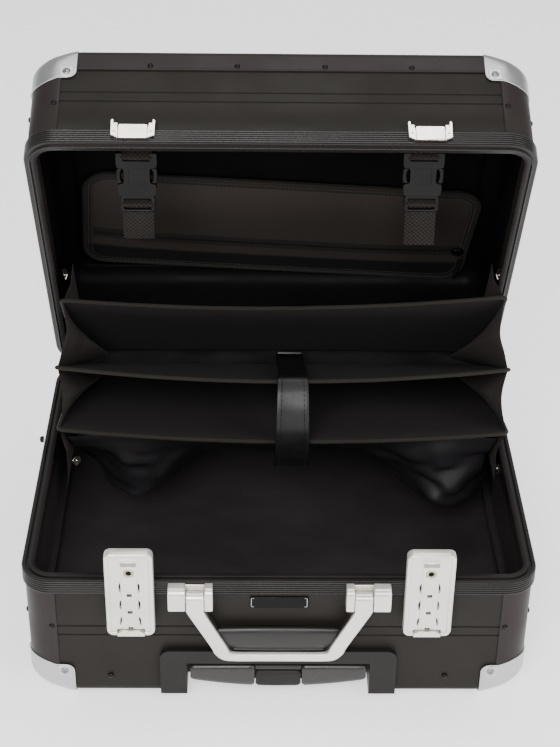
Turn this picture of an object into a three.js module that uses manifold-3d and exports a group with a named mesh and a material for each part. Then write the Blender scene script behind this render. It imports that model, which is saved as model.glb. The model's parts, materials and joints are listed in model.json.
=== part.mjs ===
// Wheeled attache case: a black aluminium-framed case lying on its bottom with the lid open,
// a fan of three document dividers inside, combination latches, a carry handle, a telescopic
// trolley grip at the front and two wheels at the hinge side.
// Millimetres. +X is the case's right, -Y its front, +Z up. The origin is the centre of the
// base's bottom face, which stands FOOT_HEIGHT above the floor.
import * as THREE from 'three';
import { mergeVertices } from 'three/addons/utils/BufferGeometryUtils.js';
import Module from 'manifold-3d';

const wasm = await Module();
wasm.setup();

// ---- driving dimensions ----------------------------------------------------------------------
const RIM_WIDTH = 460;            // outside of the rims, left to right
const RIM_DEPTH = 355;            // outside of the rims, front to back
const BASE_HEIGHT = 135;          // bottom face to parting plane
const LID_HEIGHT = 113;           // parting plane to the lid's top face
const RIM_STEP = 3.5;             // the rims stand this far proud of the panels
const RIM_BAND = 15.5;            // height of each ribbed rim band
const RIM_SECTION = 12;           // the rims' width, seen from above
const RIM_WEB = 4.5;              // thickness of the rims' flat lips
const PANEL_RADIUS = 25;          // vertical corners of the panels
const PANEL_EDGE = 8;             // rounding of the bottom and top edges
const WALL = 2;                   // panel thickness
const FIT = 0.3;                  // clearance between touching pieces
const EDGE_FRAME_HEIGHT = 25;     // edge profile round the bottom and top
const EDGE_FRAME_PROUD = 1.2;
const POST_WIDTH = 27.5;          // corner posts, measured along each wall
const CORNER_REACH = 41;          // silver corner caps, along each wall
const CORNER_HEIGHT = 40;
const CORNER_PROUD = 2.9;
const CAP_INNER = 1.6;            // the caps' inner face, clear of the edge frame
const CAP_STEPS = 4;              // facets round a cap, and rows down it
const CAP_ROWS = 8;
const CAP_WALL_SHARE = 1 / 7;     // rows of a cap's surface on the wall, then on the ball
const CAP_ARC_SHARE = 6 / 7;
const CAP_BOTTOM_REACH = 24;
const EDGE_LIP = 22;              // width of the edge frame under the bottom
const KICK_PLATE = 56;            // depth of the frame's plate under the wheels' end
const FOOT_HEIGHT = 5;

const LID_OPEN = 64.9;            // opening angle of the lid, degrees
const HINGE_OFFSET = 3.5;         // hinge axis behind the rims' back face
const PIN_RADIUS = 1.3;
const KNUCKLE_RADIUS = 3;
const KNUCKLES = 5;
const HINGE_LENGTH = 396;
const HINGE_LEAF = 15;

const LINING_FLOOR = 43;          // underside of the base's lining, above the trolley tubes
const LINING_WALL = 2;

const LATCH_X = 131.4;
const LATCH_WIDTH = 42.5;
const LATCH_BOTTOM = 82.8;
const LATCH_TOP = 174.5;
const LATCH_FRONT = -190.5;
const LATCH_BACK = -181.5;        // back face of the part that stands above the rim
const DIAL_RADIUS = 8.8;
const DIAL_HEIGHTS = [136.5, 117.3, 98.1];
const KEY_HEIGHT = 154;
const KEY_RADIUS = 4.3;
const LATCH_SKIN = 1.7;           // the latch's front wall
const BOLT_HEIGHT = 163.4;
const BOLT_HALF = 17;
const BOLT_RISE = 2.2;            // half the bolt's thickness
const BOLT_BACK = -178;
const BOLT_DEPTH = 7;
const BOLT_TRAVEL = 3.6;
const TAB_HALF = 12;
const TAB_HEIGHT = 6;
const TAB_DEPTH = 3;

const KEEPER_WIDTH = 40;
const KEEPER_LOW = 2.8;
const KEEPER_HIGH = 24.5;

const BRACKET_X = 78.5;
const BRACKET_WIDTH = 39.5;
const PIVOT_Y = -185.5;
const PIVOT_Z = 122.5;
const ARM_OUTER = 82;
const ARM_INNER = 66.5;
const BAR_LOW = 53.2;
const BAR_HIGH = 61.5;
const BOW_FRONT = -191.5;
const BOW_BACK = -187;
const BOW_BOSS = 6;

const HOUSING_HALF = 107.5;       // trolley housing, half its width
const HOUSING_TOP = 55;
const HOUSING_BOTTOM = 4;
const HOUSING_FRONT = -180;
const GRIP_OPENING = 83.3;        // half the opening between the housing's legs
const OPENING_TOP = 40.5;
const POCKET_BACK = -148;
const GRIP_HALF = 80.3;
const GRIP_TOP = 36.7;
const GRIP_END_LOW = 19.5;
const GRIP_MIDDLE_LOW = 10.5;
const GRIP_DEPTH = 14;
const GRIP_SKIN = 2.5;             // the grip's wall behind the button
const BUTTON_HALF = 20.6;
const BUTTON_TOP = 30.3;
const BUTTON_TRAVEL = 3;
const TUBE_X = 66;
const TUBE_Z = 27.5;
const CHANNEL_SIZE = [20, 17];
const LOWER_TUBE_SIZE = [16, 13];
const UPPER_TUBE_SIZE = [12, 9];
const TUBE_WALL = 1.4;
const CHANNEL_END = 150;

const WHEEL_X = 164;
const WHEEL_Y = 162;
const WHEEL_RADIUS = 20;
const WHEEL_WIDTH = 20;
const AXLE_RADIUS = 3;
const WELL_SIDE = 2.5;            // room beside each wheel
const WELL_WALL = 2;
const WELL_FRONT = 136;
const WELL_TOP = 40.5;
const FOOT_X = 165;
const FOOT_Y = -140;

const POUCH_WIDTH = 404;
const POUCH_LENGTH = 135;
const POUCH_THICKNESS = 9;
const POUCH_LOW = 98;             // height of the pouch's lower face above the parting plane
const POUCH_CENTRE_X = 2;
const POUCH_MIDDLE = 74.5;
const POUCH_TILT = THREE.MathUtils.degToRad(4.4);
const POUCH_RADIUS = 24;
const STRAP_X = 134;
const STRAP_WIDTH = 30;
const STRAP_FRONT = -168;
const STRAP_START = 78;
const STRAP_SLOPE = LID_OPEN - 90;  // the straps hang straight down in the open lid
const STRAP_LENGTH = 163;
const BUCKLE_WIDTH = 38;
const BUCKLE_LENGTH = 62;
const BUCKLE_HALF_DEPTH = 6;
const BUCKLE_RADIUS = 4;
const WEBBING_HALF = 1;
const BUCKLE_MIDDLE = 97;
const STRAP_ARC_RADIUS = 213;
const CLOSURE_LOW = 3;            // angles of the closure strap's ends above the base plane
const CLOSURE_HIGH = 33;
const CLOSURE_X = 12;

const DIVIDER_HALF = 213;
const DIVIDER_THICKNESS = 3.2;
const DIVIDER_START = 25;         // distance of the boards' inner edge from the hinge axis
const DIVIDERS = [
  { name: 'divider_lower', angle: 16, reach: 208, offset: -8 },
  { name: 'divider_middle', angle: 31, reach: 207, offset: 0 },
  { name: 'divider_upper', angle: 49.5, reach: 186, offset: 8 },
];

const FAR = 400;                  // beyond every piece, for cutting blocks
const ABOVE_TRAY = 40;            // the trays are drawn this far past the parting plane, then cut

// ---- derived places --------------------------------------------------------------------------
const PANEL_WIDTH = RIM_WIDTH - 2 * RIM_STEP;
const PANEL_DEPTH = RIM_DEPTH - 2 * RIM_STEP;
const RIM_RADIUS = PANEL_RADIUS + RIM_STEP;
const PANEL_FRONT = -PANEL_DEPTH / 2;
const RIM_FRONT = -RIM_DEPTH / 2;
const HINGE_Y = RIM_DEPTH / 2 + HINGE_OFFSET;
const WHEEL_Z = WHEEL_RADIUS - FOOT_HEIGHT;
const GRIP_BACK = HOUSING_FRONT + GRIP_DEPTH;

// ---- solids ----------------------------------------------------------------------------------
function toSolid(geometry) {
  const bare = geometry.index ? geometry.toNonIndexed() : geometry.clone();
  bare.deleteAttribute('normal');
  bare.deleteAttribute('uv');
  const merged = mergeVertices(bare, 1e-4);
  const mesh = new wasm.Mesh({
    numProp: 3,
    vertProperties: new Float32Array(merged.attributes.position.array),
    triVerts: new Uint32Array(merged.index.array),
  });
  mesh.merge();
  return new wasm.Manifold(mesh);
}

function toGeometry(solid) {
  const mesh = solid.getMesh();
  const geometry = new THREE.BufferGeometry();
  geometry.setAttribute('position', new THREE.BufferAttribute(mesh.vertProperties, 3));
  geometry.setIndex(new THREE.BufferAttribute(mesh.triVerts, 1));
  geometry.computeVertexNormals();
  return geometry;
}

function roundedRectangle(width, depth, radius) {
  const shape = new THREE.Shape();
  const x = width / 2;
  const y = depth / 2;
  shape.moveTo(-x + radius, -y);
  shape.lineTo(x - radius, -y);
  shape.absarc(x - radius, -y + radius, radius, -Math.PI / 2, 0, false);
  shape.lineTo(x, y - radius);
  shape.absarc(x - radius, y - radius, radius, 0, Math.PI / 2, false);
  shape.lineTo(-x + radius, y);
  shape.absarc(-x + radius, y - radius, radius, Math.PI / 2, Math.PI, false);
  shape.lineTo(-x, -y + radius);
  shape.absarc(-x + radius, -y + radius, radius, Math.PI, Math.PI * 1.5, false);
  return shape;
}

function polygon(points) {
  return new THREE.Shape(points.map(([x, y]) => new THREE.Vector2(x, y)));
}

function extrude(shape, depth, segments = 5) {
  return new THREE.ExtrudeGeometry(shape, { depth, bevelEnabled: false, curveSegments: segments });
}

// Upright slab with vertical rounded corners, between two heights.
function slab(width, depth, radius, low, high, segments = 4) {
  const geometry = extrude(roundedRectangle(width, depth, radius), high - low, segments);
  return toSolid(geometry.translate(0, 0, low));
}

// The same with its lower and upper edges rounded too.
function softSlab(width, depth, radius, low, high, edge) {
  const geometry = new THREE.ExtrudeGeometry(roundedRectangle(width, depth, radius), {
    depth: high - low - 2 * edge,
    bevelEnabled: true,
    bevelThickness: edge,
    bevelSize: edge,
    bevelOffset: -edge,
    bevelSegments: 3,
    curveSegments: 4,
  });
  return toSolid(geometry.translate(0, 0, low + edge));
}

function block(x0, x1, y0, y1, z0, z1) {
  const geometry = new THREE.BoxGeometry(x1 - x0, y1 - y0, z1 - z0);
  return toSolid(geometry.translate((x0 + x1) / 2, (y0 + y1) / 2, (z0 + z1) / 2));
}

// A profile drawn in X and Z, extruded along Y.
function extrudeAlongY(shape, y0, y1, segments = 6) {
  const geometry = extrude(shape, y1 - y0, segments);
  return toSolid(geometry.rotateX(Math.PI / 2).translate(0, y1, 0));
}

// A profile drawn in Y and Z, extruded along X.
function extrudeAlongX(shape, x0, x1, segments = 6) {
  const geometry = extrude(shape, x1 - x0, segments);
  return toSolid(geometry.rotateX(Math.PI / 2).rotateZ(Math.PI / 2).translate(x0, 0, 0));
}

function rodAlongX(radius, x0, x1, y, z, sides = 14) {
  const geometry = new THREE.CylinderGeometry(radius, radius, x1 - x0, sides);
  return toSolid(geometry.rotateZ(Math.PI / 2).translate((x0 + x1) / 2, y, z));
}

function rodAlongY(radius, y0, y1, x, z, sides = 16) {
  const geometry = new THREE.CylinderGeometry(radius, radius, y1 - y0, sides);
  return toSolid(geometry.translate(x, (y0 + y1) / 2, z));
}

function mirrorX(solid) {
  return solid.mirror([1, 0, 0]);
}

// ---- materials and the scene graph -----------------------------------------------------------
function material(color, roughness, metalness) {
  return new THREE.MeshStandardMaterial({ color, roughness, metalness });
}

const FINISH = {
  panel: material(0x3b3835, 0.5, 0.3),
  profile: material(0x423c3c, 0.42, 0.5),
  satin: material(0xbcbfbc, 0.35, 0.9),
  latch: material(0xe2e0dc, 0.32, 0.9),
  nickel: material(0xeee2d4, 0.25, 1),
  brass: material(0xcab98c, 0.3, 1),
  steel: material(0x9a9a9a, 0.35, 1),
  plastic: material(0x3a3838, 0.55, 0),
  rubber: material(0x1c1c1c, 0.8, 0),
  lining: material(0x141216, 0.85, 0),
  fabric: material(0x241f1c, 0.9, 0),
  leather: material(0x17171a, 0.45, 0),
};

const model = new THREE.Group();
const lidHinge = new THREE.Group();
lidHinge.position.set(0, HINGE_Y, BASE_HEIGHT);
lidHinge.rotation.x = THREE.MathUtils.degToRad(-LID_OPEN);
model.add(lidHinge);
// The lid is drawn closed, with z = 0 at the parting plane, and turned open by its hinge.
const lid = new THREE.Group();
lid.position.set(0, -HINGE_Y, 0);
lidHinge.add(lid);

function add(parent, name, solid, finish) {
  const mesh = new THREE.Mesh(toGeometry(solid), finish);
  mesh.name = name;
  parent.add(mesh);
  return mesh;
}

// ---- case halves -----------------------------------------------------------------------------
// Both halves are drawn as trays that open upwards, with z = 0 at the parting plane.

// Outline round the back right corner, from the right wall to the back wall: the point and
// outward direction at each step, and how far round the corner it is.
function cornerOutline(reach, steps) {
  const points = [];
  const cx = PANEL_WIDTH / 2 - PANEL_RADIUS;
  const cy = PANEL_DEPTH / 2 - PANEL_RADIUS;
  points.push({ x: PANEL_WIDTH / 2, y: PANEL_DEPTH / 2 - reach, angle: 0, turn: 0 });
  for (let step = 0; step <= steps; step += 1) {
    const angle = (step / steps) * Math.PI / 2;
    const x = cx + PANEL_RADIUS * Math.cos(angle);
    const y = cy + PANEL_RADIUS * Math.sin(angle);
    points.push({ x, y, angle, turn: Math.sin(2 * angle) });
  }
  points.push({ x: PANEL_WIDTH / 2 - reach, y: PANEL_DEPTH / 2, angle: Math.PI / 2, turn: 0 });
  return points;
}

// One point of a corner cap's surface: down the wall, round the ball, and along the bottom.
function capPoint(place, depth, proud, share) {
  const ball = PANEL_EDGE + (PANEL_RADIUS - 1.5 - PANEL_EDGE) * Math.sqrt(place.turn);
  const edge = ball + proud;
  let inset = 0;
  let z = -depth + ball;
  if (share < CAP_WALL_SHARE) {
    z += (CORNER_HEIGHT - ball) * (1 - share / CAP_WALL_SHARE);
  } else if (share <= CAP_ARC_SHARE) {
    const angle = ((share - CAP_WALL_SHARE) / (CAP_ARC_SHARE - CAP_WALL_SHARE)) * Math.PI / 2;
    inset = edge * (1 - Math.cos(angle));
    z -= edge * Math.sin(angle);
  } else {
    inset = edge + (CAP_BOTTOM_REACH - ball) * (share - CAP_ARC_SHARE) / (1 - CAP_ARC_SHARE);
    z = -depth - proud;
  }
  const out = proud - inset;
  return [place.x + out * Math.cos(place.angle), place.y + out * Math.sin(place.angle), z];
}

// Closed sheet between two offsets of the cap's surface.
function capSolid(depth, outer, inner) {
  const outline = cornerOutline(CORNER_REACH, CAP_STEPS);
  const rows = CAP_ROWS;
  const positions = [];
  const index = [];
  for (const proud of [outer, inner]) {
    for (const place of outline) {
      for (let row = 0; row < rows; row += 1) {
        positions.push(...capPoint(place, depth, proud, row / (rows - 1)));
      }
    }
  }
  const layer = outline.length * rows;
  const at = (side, column, row) => side * layer + column * rows + row;
  const quad = (a, b, c, d) => index.push(a, b, c, a, c, d);
  const end = outline.length - 1;
  const last = rows - 1;
  for (let c = 0; c < end; c += 1) {
    for (let r = 0; r < last; r += 1) {
      quad(at(0, c, r), at(0, c, r + 1), at(0, c + 1, r + 1), at(0, c + 1, r));
      quad(at(1, c, r), at(1, c + 1, r), at(1, c + 1, r + 1), at(1, c, r + 1));
    }
    quad(at(0, c, 0), at(0, c + 1, 0), at(1, c + 1, 0), at(1, c, 0));
    quad(at(0, c, last), at(1, c, last), at(1, c + 1, last), at(0, c + 1, last));
  }
  for (let r = 0; r < last; r += 1) {
    quad(at(0, 0, r), at(1, 0, r), at(1, 0, r + 1), at(0, 0, r + 1));
    quad(at(0, end, r), at(0, end, r + 1), at(1, end, r + 1), at(1, end, r));
  }
  const geometry = new THREE.BufferGeometry();
  geometry.setAttribute('position', new THREE.Float32BufferAttribute(positions, 3));
  geometry.setIndex(index);
  return toSolid(geometry);
}

// The four copies of a solid drawn at the back right corner.
function atCorners(solid) {
  const front = solid.mirror([0, 1, 0]);
  return { back_right: solid, back_left: mirrorX(solid), front_right: front, front_left: mirrorX(front) };
}

function joinAll(solids) {
  return solids.reduce((sum, solid) => sum.add(solid));
}

function above(height) {
  return block(-FAR, FAR, -FAR, FAR, height, FAR);
}

function trayShell(depth) {
  const inner = PANEL_WIDTH - 2 * WALL;
  const outer = softSlab(PANEL_WIDTH, PANEL_DEPTH, PANEL_RADIUS, -depth, ABOVE_TRAY, PANEL_EDGE);
  const cavity = softSlab(inner, PANEL_DEPTH - 2 * WALL, PANEL_RADIUS - WALL, -depth + WALL,
    ABOVE_TRAY + WALL, PANEL_EDGE - WALL);
  return outer.subtract(cavity).subtract(above(-RIM_WEB - FIT));
}

function rimSlab(inset, low, high) {
  return slab(RIM_WIDTH - 2 * inset, RIM_DEPTH - 2 * inset, RIM_RADIUS - inset, low, high);
}

// A band round the rim between two insets and two heights.
function rimBand(inset, far, low, high) {
  return rimSlab(inset, low, high).subtract(rimSlab(far, low - 1, high + 1));
}

function rimFrame() {
  const slot = rimBand(RIM_STEP - FIT, RIM_SECTION - 2.2, -30, -RIM_WEB);
  return rimBand(0, RIM_SECTION, -RIM_BAND, 0).subtract(slot);
}

// Rounded profiles round the bottom edge, with a post up each corner and a lip under the bottom.
function edgeFrame(depth, rearLip) {
  const proud = EDGE_FRAME_PROUD;
  const outer = softSlab(PANEL_WIDTH + 2 * proud, PANEL_DEPTH + 2 * proud, PANEL_RADIUS + proud,
    -depth - proud, ABOVE_TRAY, PANEL_EDGE + proud);
  const inner = softSlab(PANEL_WIDTH + 2 * FIT, PANEL_DEPTH + 2 * FIT, PANEL_RADIUS + FIT,
    -depth - FIT, ABOVE_TRAY + FIT, PANEL_EDGE + FIT);
  const holeDepth = PANEL_DEPTH - EDGE_LIP - rearLip;
  const hole = slab(PANEL_WIDTH - 2 * EDGE_LIP, holeDepth, 6, -depth - 5, -depth + 5)
    .translate([0, (EDGE_LIP - rearLip) / 2, 0]);
  const x = PANEL_WIDTH / 2 - POST_WIDTH;
  const y = PANEL_DEPTH / 2 - POST_WIDTH;
  const cross = block(-x, x, -FAR, FAR, -FAR, FAR).add(block(-FAR, FAR, -y, y, -FAR, FAR));
  const openWall = cross.intersect(above(-depth + EDGE_FRAME_HEIGHT));
  return outer.subtract(inner).subtract(hole).subtract(openWall).subtract(above(-RIM_BAND - FIT));
}

function liningTray(low, edge) {
  const gap = WALL + 0.4;
  const inner = gap + LINING_WALL;
  const outer = softSlab(PANEL_WIDTH - 2 * gap, PANEL_DEPTH - 2 * gap, PANEL_RADIUS - gap,
    low, ABOVE_TRAY, edge);
  const cavity = softSlab(PANEL_WIDTH - 2 * inner, PANEL_DEPTH - 2 * inner, PANEL_RADIUS - inner,
    low + LINING_WALL, ABOVE_TRAY + edge, edge - LINING_WALL);
  return outer.subtract(cavity).subtract(above(-RIM_WEB - FIT));
}

// Shell, edge frame and silver corners of one half. The shell and frame are trimmed to the ball
// of each corner and opened where the trolley and the wheels pass.
function caseHalf(parent, prefix, depth, facing, rearLip, openings) {
  const beyondCaps = joinAll(Object.values(atCorners(capSolid(depth, 22, CAP_INNER - FIT))));
  const cut = openings ? beyondCaps.add(openings) : beyondCaps;
  add(parent, `${prefix}_shell`, facing(trayShell(depth).subtract(cut)), FINISH.panel);
  for (const [place, cap] of Object.entries(atCorners(capSolid(depth, CORNER_PROUD, CAP_INNER)))) {
    add(parent, `${prefix}_corner_${place}`, facing(cap), FINISH.satin);
  }
  add(parent, `${prefix}_edge_frame`, facing(edgeFrame(depth, rearLip).subtract(cut)), FINISH.profile);
}

const base = new THREE.Group();
base.position.set(0, 0, BASE_HEIGHT);
model.add(base);

// ---- base half -------------------------------------------------------------------------------
const upright = (solid) => solid;
const overturned = (solid) => solid.mirror([0, 0, 1]);

function wheelWell(side) {
  const x = side * WHEEL_X;
  const half = WHEEL_WIDTH / 2 + WELL_SIDE + WELL_WALL + FIT;
  return block(x - half, x + half, WELL_FRONT - FIT, 200, -20, WELL_TOP + FIT);
}

const trolleyCut = block(-GRIP_OPENING - 2 - FIT, GRIP_OPENING + 2 + FIT, -200, POCKET_BACK + 2 + FIT, -20,
  OPENING_TOP + 2 + FIT);
const baseOpenings = joinAll([trolleyCut, wheelWell(-1), wheelWell(1)]).translate([0, 0, -BASE_HEIGHT]);
caseHalf(base, 'base', BASE_HEIGHT, upright, KICK_PLATE, baseOpenings);
const sealGroove = rimBand(4, 6.6, -2.5, 1);
const rimGap = FIT / 2;
add(base, 'base_rim', rimFrame().subtract(sealGroove).translate([0, 0, -rimGap]), FINISH.profile);
add(base, 'base_lining', liningTray(LINING_FLOOR - BASE_HEIGHT, 8), FINISH.lining);

// ---- lid half --------------------------------------------------------------------------------
caseHalf(lid, 'lid', LID_HEIGHT, overturned, EDGE_LIP, null);
const sealTongue = rimBand(4.4, 6.2, -1, 2);
add(lid, 'lid_rim', overturned(rimFrame().add(sealTongue).translate([0, 0, -rimGap])), FINISH.profile);
add(lid, 'lid_lining', overturned(liningTray(-LID_HEIGHT + WALL + 0.4, 21)), FINISH.lining);

// ---- hinge -----------------------------------------------------------------------------------
// A row of knuckles round one pin; odd ones belong to the lid. The base's leaf holds the pin.
function hingeLeaf(isLid) {
  const leafTop = isLid ? HINGE_LEAF : 0;
  const leafLow = isLid ? 0 : -HINGE_LEAF;
  const face = RIM_DEPTH / 2 + FIT;
  const half = HINGE_LENGTH / 2;
  const pitch = HINGE_LENGTH / KNUCKLES;
  let leaf = block(-half, half, face, face + 1.2, leafLow, leafTop);
  for (let place = 0; place < KNUCKLES; place += 1) {
    const start = -half + place * pitch;
    const own = (place % 2 === 1) === isLid;
    const gap = own ? -FIT / 2 : FIT / 2;
    const room = own ? KNUCKLE_RADIUS : KNUCKLE_RADIUS + FIT;
    const barrel = rodAlongX(room, start - gap, start + pitch + gap, HINGE_Y, 0);
    leaf = own ? leaf.add(barrel) : leaf.subtract(barrel);
  }
  if (isLid) {
    return leaf.subtract(rodAlongX(PIN_RADIUS + 0.08, -half - 5, half + 5, HINGE_Y, 0));
  }
  return leaf.add(rodAlongX(PIN_RADIUS, -half, half, HINGE_Y, 0));
}

add(base, 'hinge_base_leaf', hingeLeaf(false), FINISH.steel);
add(lid, 'hinge_lid_leaf', hingeLeaf(true), FINISH.steel);

// ---- latches ---------------------------------------------------------------------------------
function latchBody() {
  const half = LATCH_WIDTH / 2;
  const corner = 6;
  const face = roundedRectangle(LATCH_WIDTH, LATCH_TOP - LATCH_BOTTOM, corner);
  const middle = (LATCH_TOP + LATCH_BOTTOM) / 2;
  const plate = extrudeAlongY(face, LATCH_FRONT, LATCH_BACK).translate([0, 0, middle]);
  const bandTop = BASE_HEIGHT - RIM_BAND - 2 * FIT;
  const overPanel = block(-half + 2, half - 2, LATCH_BACK - 1, PANEL_FRONT - FIT, LATCH_BOTTOM + 2, bandTop);
  const overBand = block(-half + 2, half - 2, LATCH_BACK - 1, RIM_FRONT - FIT, bandTop - 1, BASE_HEIGHT - 3);
  const front = LATCH_FRONT + LATCH_SKIN;
  let body = plate.add(overPanel).add(overBand);
  for (const height of DIAL_HEIGHTS) {
    body = body.subtract(rodAlongY(DIAL_RADIUS + 0.4, front, PANEL_FRONT + 9, 0, height, 20));
    for (const side of [-1, 1]) {
      const near = Math.min(side * 7, side * 9.2);
      body = body.subtract(block(near, near + 2.2, LATCH_FRONT - 1, front + 1, height - 5.2, height + 5.2));
    }
  }
  body = body.subtract(rodAlongY(KEY_RADIUS + FIT, LATCH_FRONT - 1, LATCH_FRONT + 6.5, 0, KEY_HEIGHT));
  const boltRoom = BOLT_RISE + FIT;
  const boltFront = BOLT_BACK - BOLT_DEPTH - BOLT_TRAVEL - FIT;
  const bolt = block(-BOLT_HALF - FIT, BOLT_HALF + FIT, boltFront, LATCH_BACK + 1,
    BOLT_HEIGHT - boltRoom, BOLT_HEIGHT + boltRoom);
  const tabRoom = block(-TAB_HALF - FIT, TAB_HALF + FIT, LATCH_FRONT - 1, LATCH_FRONT + TAB_DEPTH + FIT,
    LATCH_BOTTOM - 1, LATCH_BOTTOM + TAB_HEIGHT + FIT);
  return body.subtract(bolt).subtract(tabRoom);
}

function dial() {
  const profile = [
    [0, 0], [DIAL_RADIUS, 0], [DIAL_RADIUS, 4.2], [4, 4.2], [4, 6.3], [0, 6.3],
  ].map(([radius, along]) => new THREE.Vector2(radius, along));
  const geometry = new THREE.LatheGeometry(profile, 20);
  return toSolid(geometry.translate(0, LATCH_FRONT + LATCH_SKIN + FIT, 0));
}

function keyCylinder() {
  const plug = rodAlongY(KEY_RADIUS, LATCH_FRONT - 0.4, LATCH_FRONT + 6, 0, KEY_HEIGHT);
  const slot = block(-0.5, 0.5, LATCH_FRONT - 1, LATCH_FRONT + 3, KEY_HEIGHT - 2.6, KEY_HEIGHT + 2.6);
  return plug.subtract(slot);
}

function latchTab() {
  const low = LATCH_BOTTOM + 0.2;
  const flare = polygon([[-TAB_HALF, low], [TAB_HALF, low], [TAB_HALF, low + 3], [7.5, low + TAB_HEIGHT],
    [-7.5, low + TAB_HEIGHT], [-TAB_HALF, low + 3]]);
  return extrudeAlongY(flare, LATCH_FRONT - 0.8, LATCH_FRONT + TAB_DEPTH);
}

function latchBolt() {
  const back = BOLT_BACK - BOLT_DEPTH;
  return block(-BOLT_HALF, BOLT_HALF, back, BOLT_BACK, BOLT_HEIGHT - BOLT_RISE, BOLT_HEIGHT + BOLT_RISE);
}

// Keeper on the lid's front wall: a plate between two taller ears.
function keeper() {
  const back = PANEL_FRONT - FIT;
  const half = KEEPER_WIDTH / 2;
  const plate = block(-half + 6, half - 6, back - 3, back, KEEPER_LOW, KEEPER_HIGH - 6);
  const step = RIM_BAND + FIT + 0.4;
  let solid = plate;
  for (const side of [-1, 1]) {
    const inner = Math.min(side * (half - 7), side * half);
    solid = solid.add(block(inner, inner + 7, back - 6.8, back - 3.6, KEEPER_LOW, KEEPER_HIGH));
    solid = solid.add(block(inner, inner + 7, back - 6.8, back, step, KEEPER_HIGH));
  }
  const band = block(-half, half, back - 5.9, back - 3.6, KEEPER_LOW, KEEPER_HIGH - 4);
  const bandRoom = block(-half - 1, half + 1, RIM_FRONT - FIT, PANEL_FRONT + 1, KEEPER_LOW - 1, step);
  return solid.add(band).subtract(bandRoom);
}

for (const [side, sign] of [['left', -1], ['right', 1]]) {
  const at = new THREE.Group();
  at.position.x = sign * LATCH_X;
  model.add(at);
  add(at, `latch_body_${side}`, latchBody(), FINISH.latch);
  add(at, `latch_tab_${side}`, latchTab(), FINISH.latch);
  add(at, `latch_bolt_${side}`, latchBolt(), FINISH.steel);
  add(at, `key_cylinder_${side}`, keyCylinder(), FINISH.brass);
  DIAL_HEIGHTS.forEach((height, index) => {
    const mesh = add(at, `dial_${side}_${index + 1}`, dial(), FINISH.rubber);
    mesh.position.z = height;
  });
  const hold = new THREE.Group();
  hold.position.x = sign * LATCH_X;
  lid.add(hold);
  add(hold, `keeper_${side}`, keeper(), FINISH.nickel);
}

// ---- carry handle ----------------------------------------------------------------------------
// Each bracket has a wide outer and a narrow inner lug, joined by a pin through the handle's arm.
function handleBracket() {
  const low = BASE_HEIGHT - 25;
  const high = BASE_HEIGHT - 1.5;
  const front = PIVOT_Y - 5.5;
  const back = RIM_FRONT - FIT;
  const side = new THREE.Shape();
  side.moveTo(back, low);
  side.lineTo(back, high);
  side.lineTo(front + 7, high);
  side.quadraticCurveTo(front, high - 0.5, front, high - 6);
  side.lineTo(front, low + 3);
  side.quadraticCurveTo(front, low, front + 3, low);
  side.closePath();
  const outerEdge = BRACKET_X + BRACKET_WIDTH / 2;
  const innerEdge = BRACKET_X - BRACKET_WIDTH / 2;
  const solid = extrudeAlongX(side, innerEdge, outerEdge);
  const slot = block(ARM_INNER - 0.6, ARM_OUTER + 0.6, front - 1, back - 1.5, low - 1, high + 1);
  const padTop = BASE_HEIGHT - RIM_BAND - 2 * FIT;
  const pad = block(innerEdge + 1, outerEdge - 1, back - 0.5, PANEL_FRONT - FIT, low, padTop);
  const pin = rodAlongX(2, ARM_INNER - 2, ARM_OUTER + 2, PIVOT_Y, PIVOT_Z);
  return solid.subtract(slot).add(pad).add(pin);
}

// The silver bow, seen from the front: two arms that slope inwards to a thin bar.
function handleBow() {
  const knee = 110;
  const shape = new THREE.Shape();
  shape.moveTo(-ARM_OUTER, PIVOT_Z);
  shape.lineTo(-ARM_OUTER, knee);
  shape.lineTo(-60, 68);
  shape.quadraticCurveTo(-53, BAR_LOW, -38, BAR_LOW);
  shape.lineTo(38, BAR_LOW);
  shape.quadraticCurveTo(53, BAR_LOW, 60, 68);
  shape.lineTo(ARM_OUTER, knee);
  shape.lineTo(ARM_OUTER, PIVOT_Z);
  shape.lineTo(ARM_INNER, PIVOT_Z);
  shape.lineTo(ARM_INNER, knee);
  shape.lineTo(47, 69);
  shape.quadraticCurveTo(43, BAR_HIGH, 36, BAR_HIGH);
  shape.lineTo(-36, BAR_HIGH);
  shape.quadraticCurveTo(-43, BAR_HIGH, -47, 69);
  shape.lineTo(-ARM_INNER, knee);
  shape.lineTo(-ARM_INNER, PIVOT_Z);
  shape.closePath();
  let bow = extrudeAlongY(shape, BOW_FRONT, BOW_BACK);
  for (const side of [-1, 1]) {
    const start = Math.min(side * ARM_INNER, side * ARM_OUTER);
    const end = start + ARM_OUTER - ARM_INNER;
    bow = bow.add(rodAlongX(BOW_BOSS, start, end, PIVOT_Y, PIVOT_Z));
    bow = bow.subtract(rodAlongX(2.08, start - 1, end + 1, PIVOT_Y, PIVOT_Z));
  }
  return bow;
}

// The black grip behind the bow: a padded roll with two short arms.
function handleGrip() {
  const shape = polygon([[-57, 58.5], [57, 58.5], [60, 64], [72, 88], [73, 100], [64, 100], [56, 86],
    [-56, 86], [-64, 100], [-73, 100], [-72, 88], [-60, 64]]);
  const back = PANEL_FRONT - 2.6;
  const front = BOW_BACK + FIT;
  const plate = extrudeAlongY(shape, front, back);
  const section = new THREE.Shape();
  section.absellipse((front + back) / 2, 72.5, (back - front) / 2, 14.2, 0, Math.PI * 2, false);
  const roll = extrudeAlongX(section, -80, 80, 10);
  return plate.subtract(block(-FAR, FAR, -FAR, FAR, 0, 86).subtract(roll));
}

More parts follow.
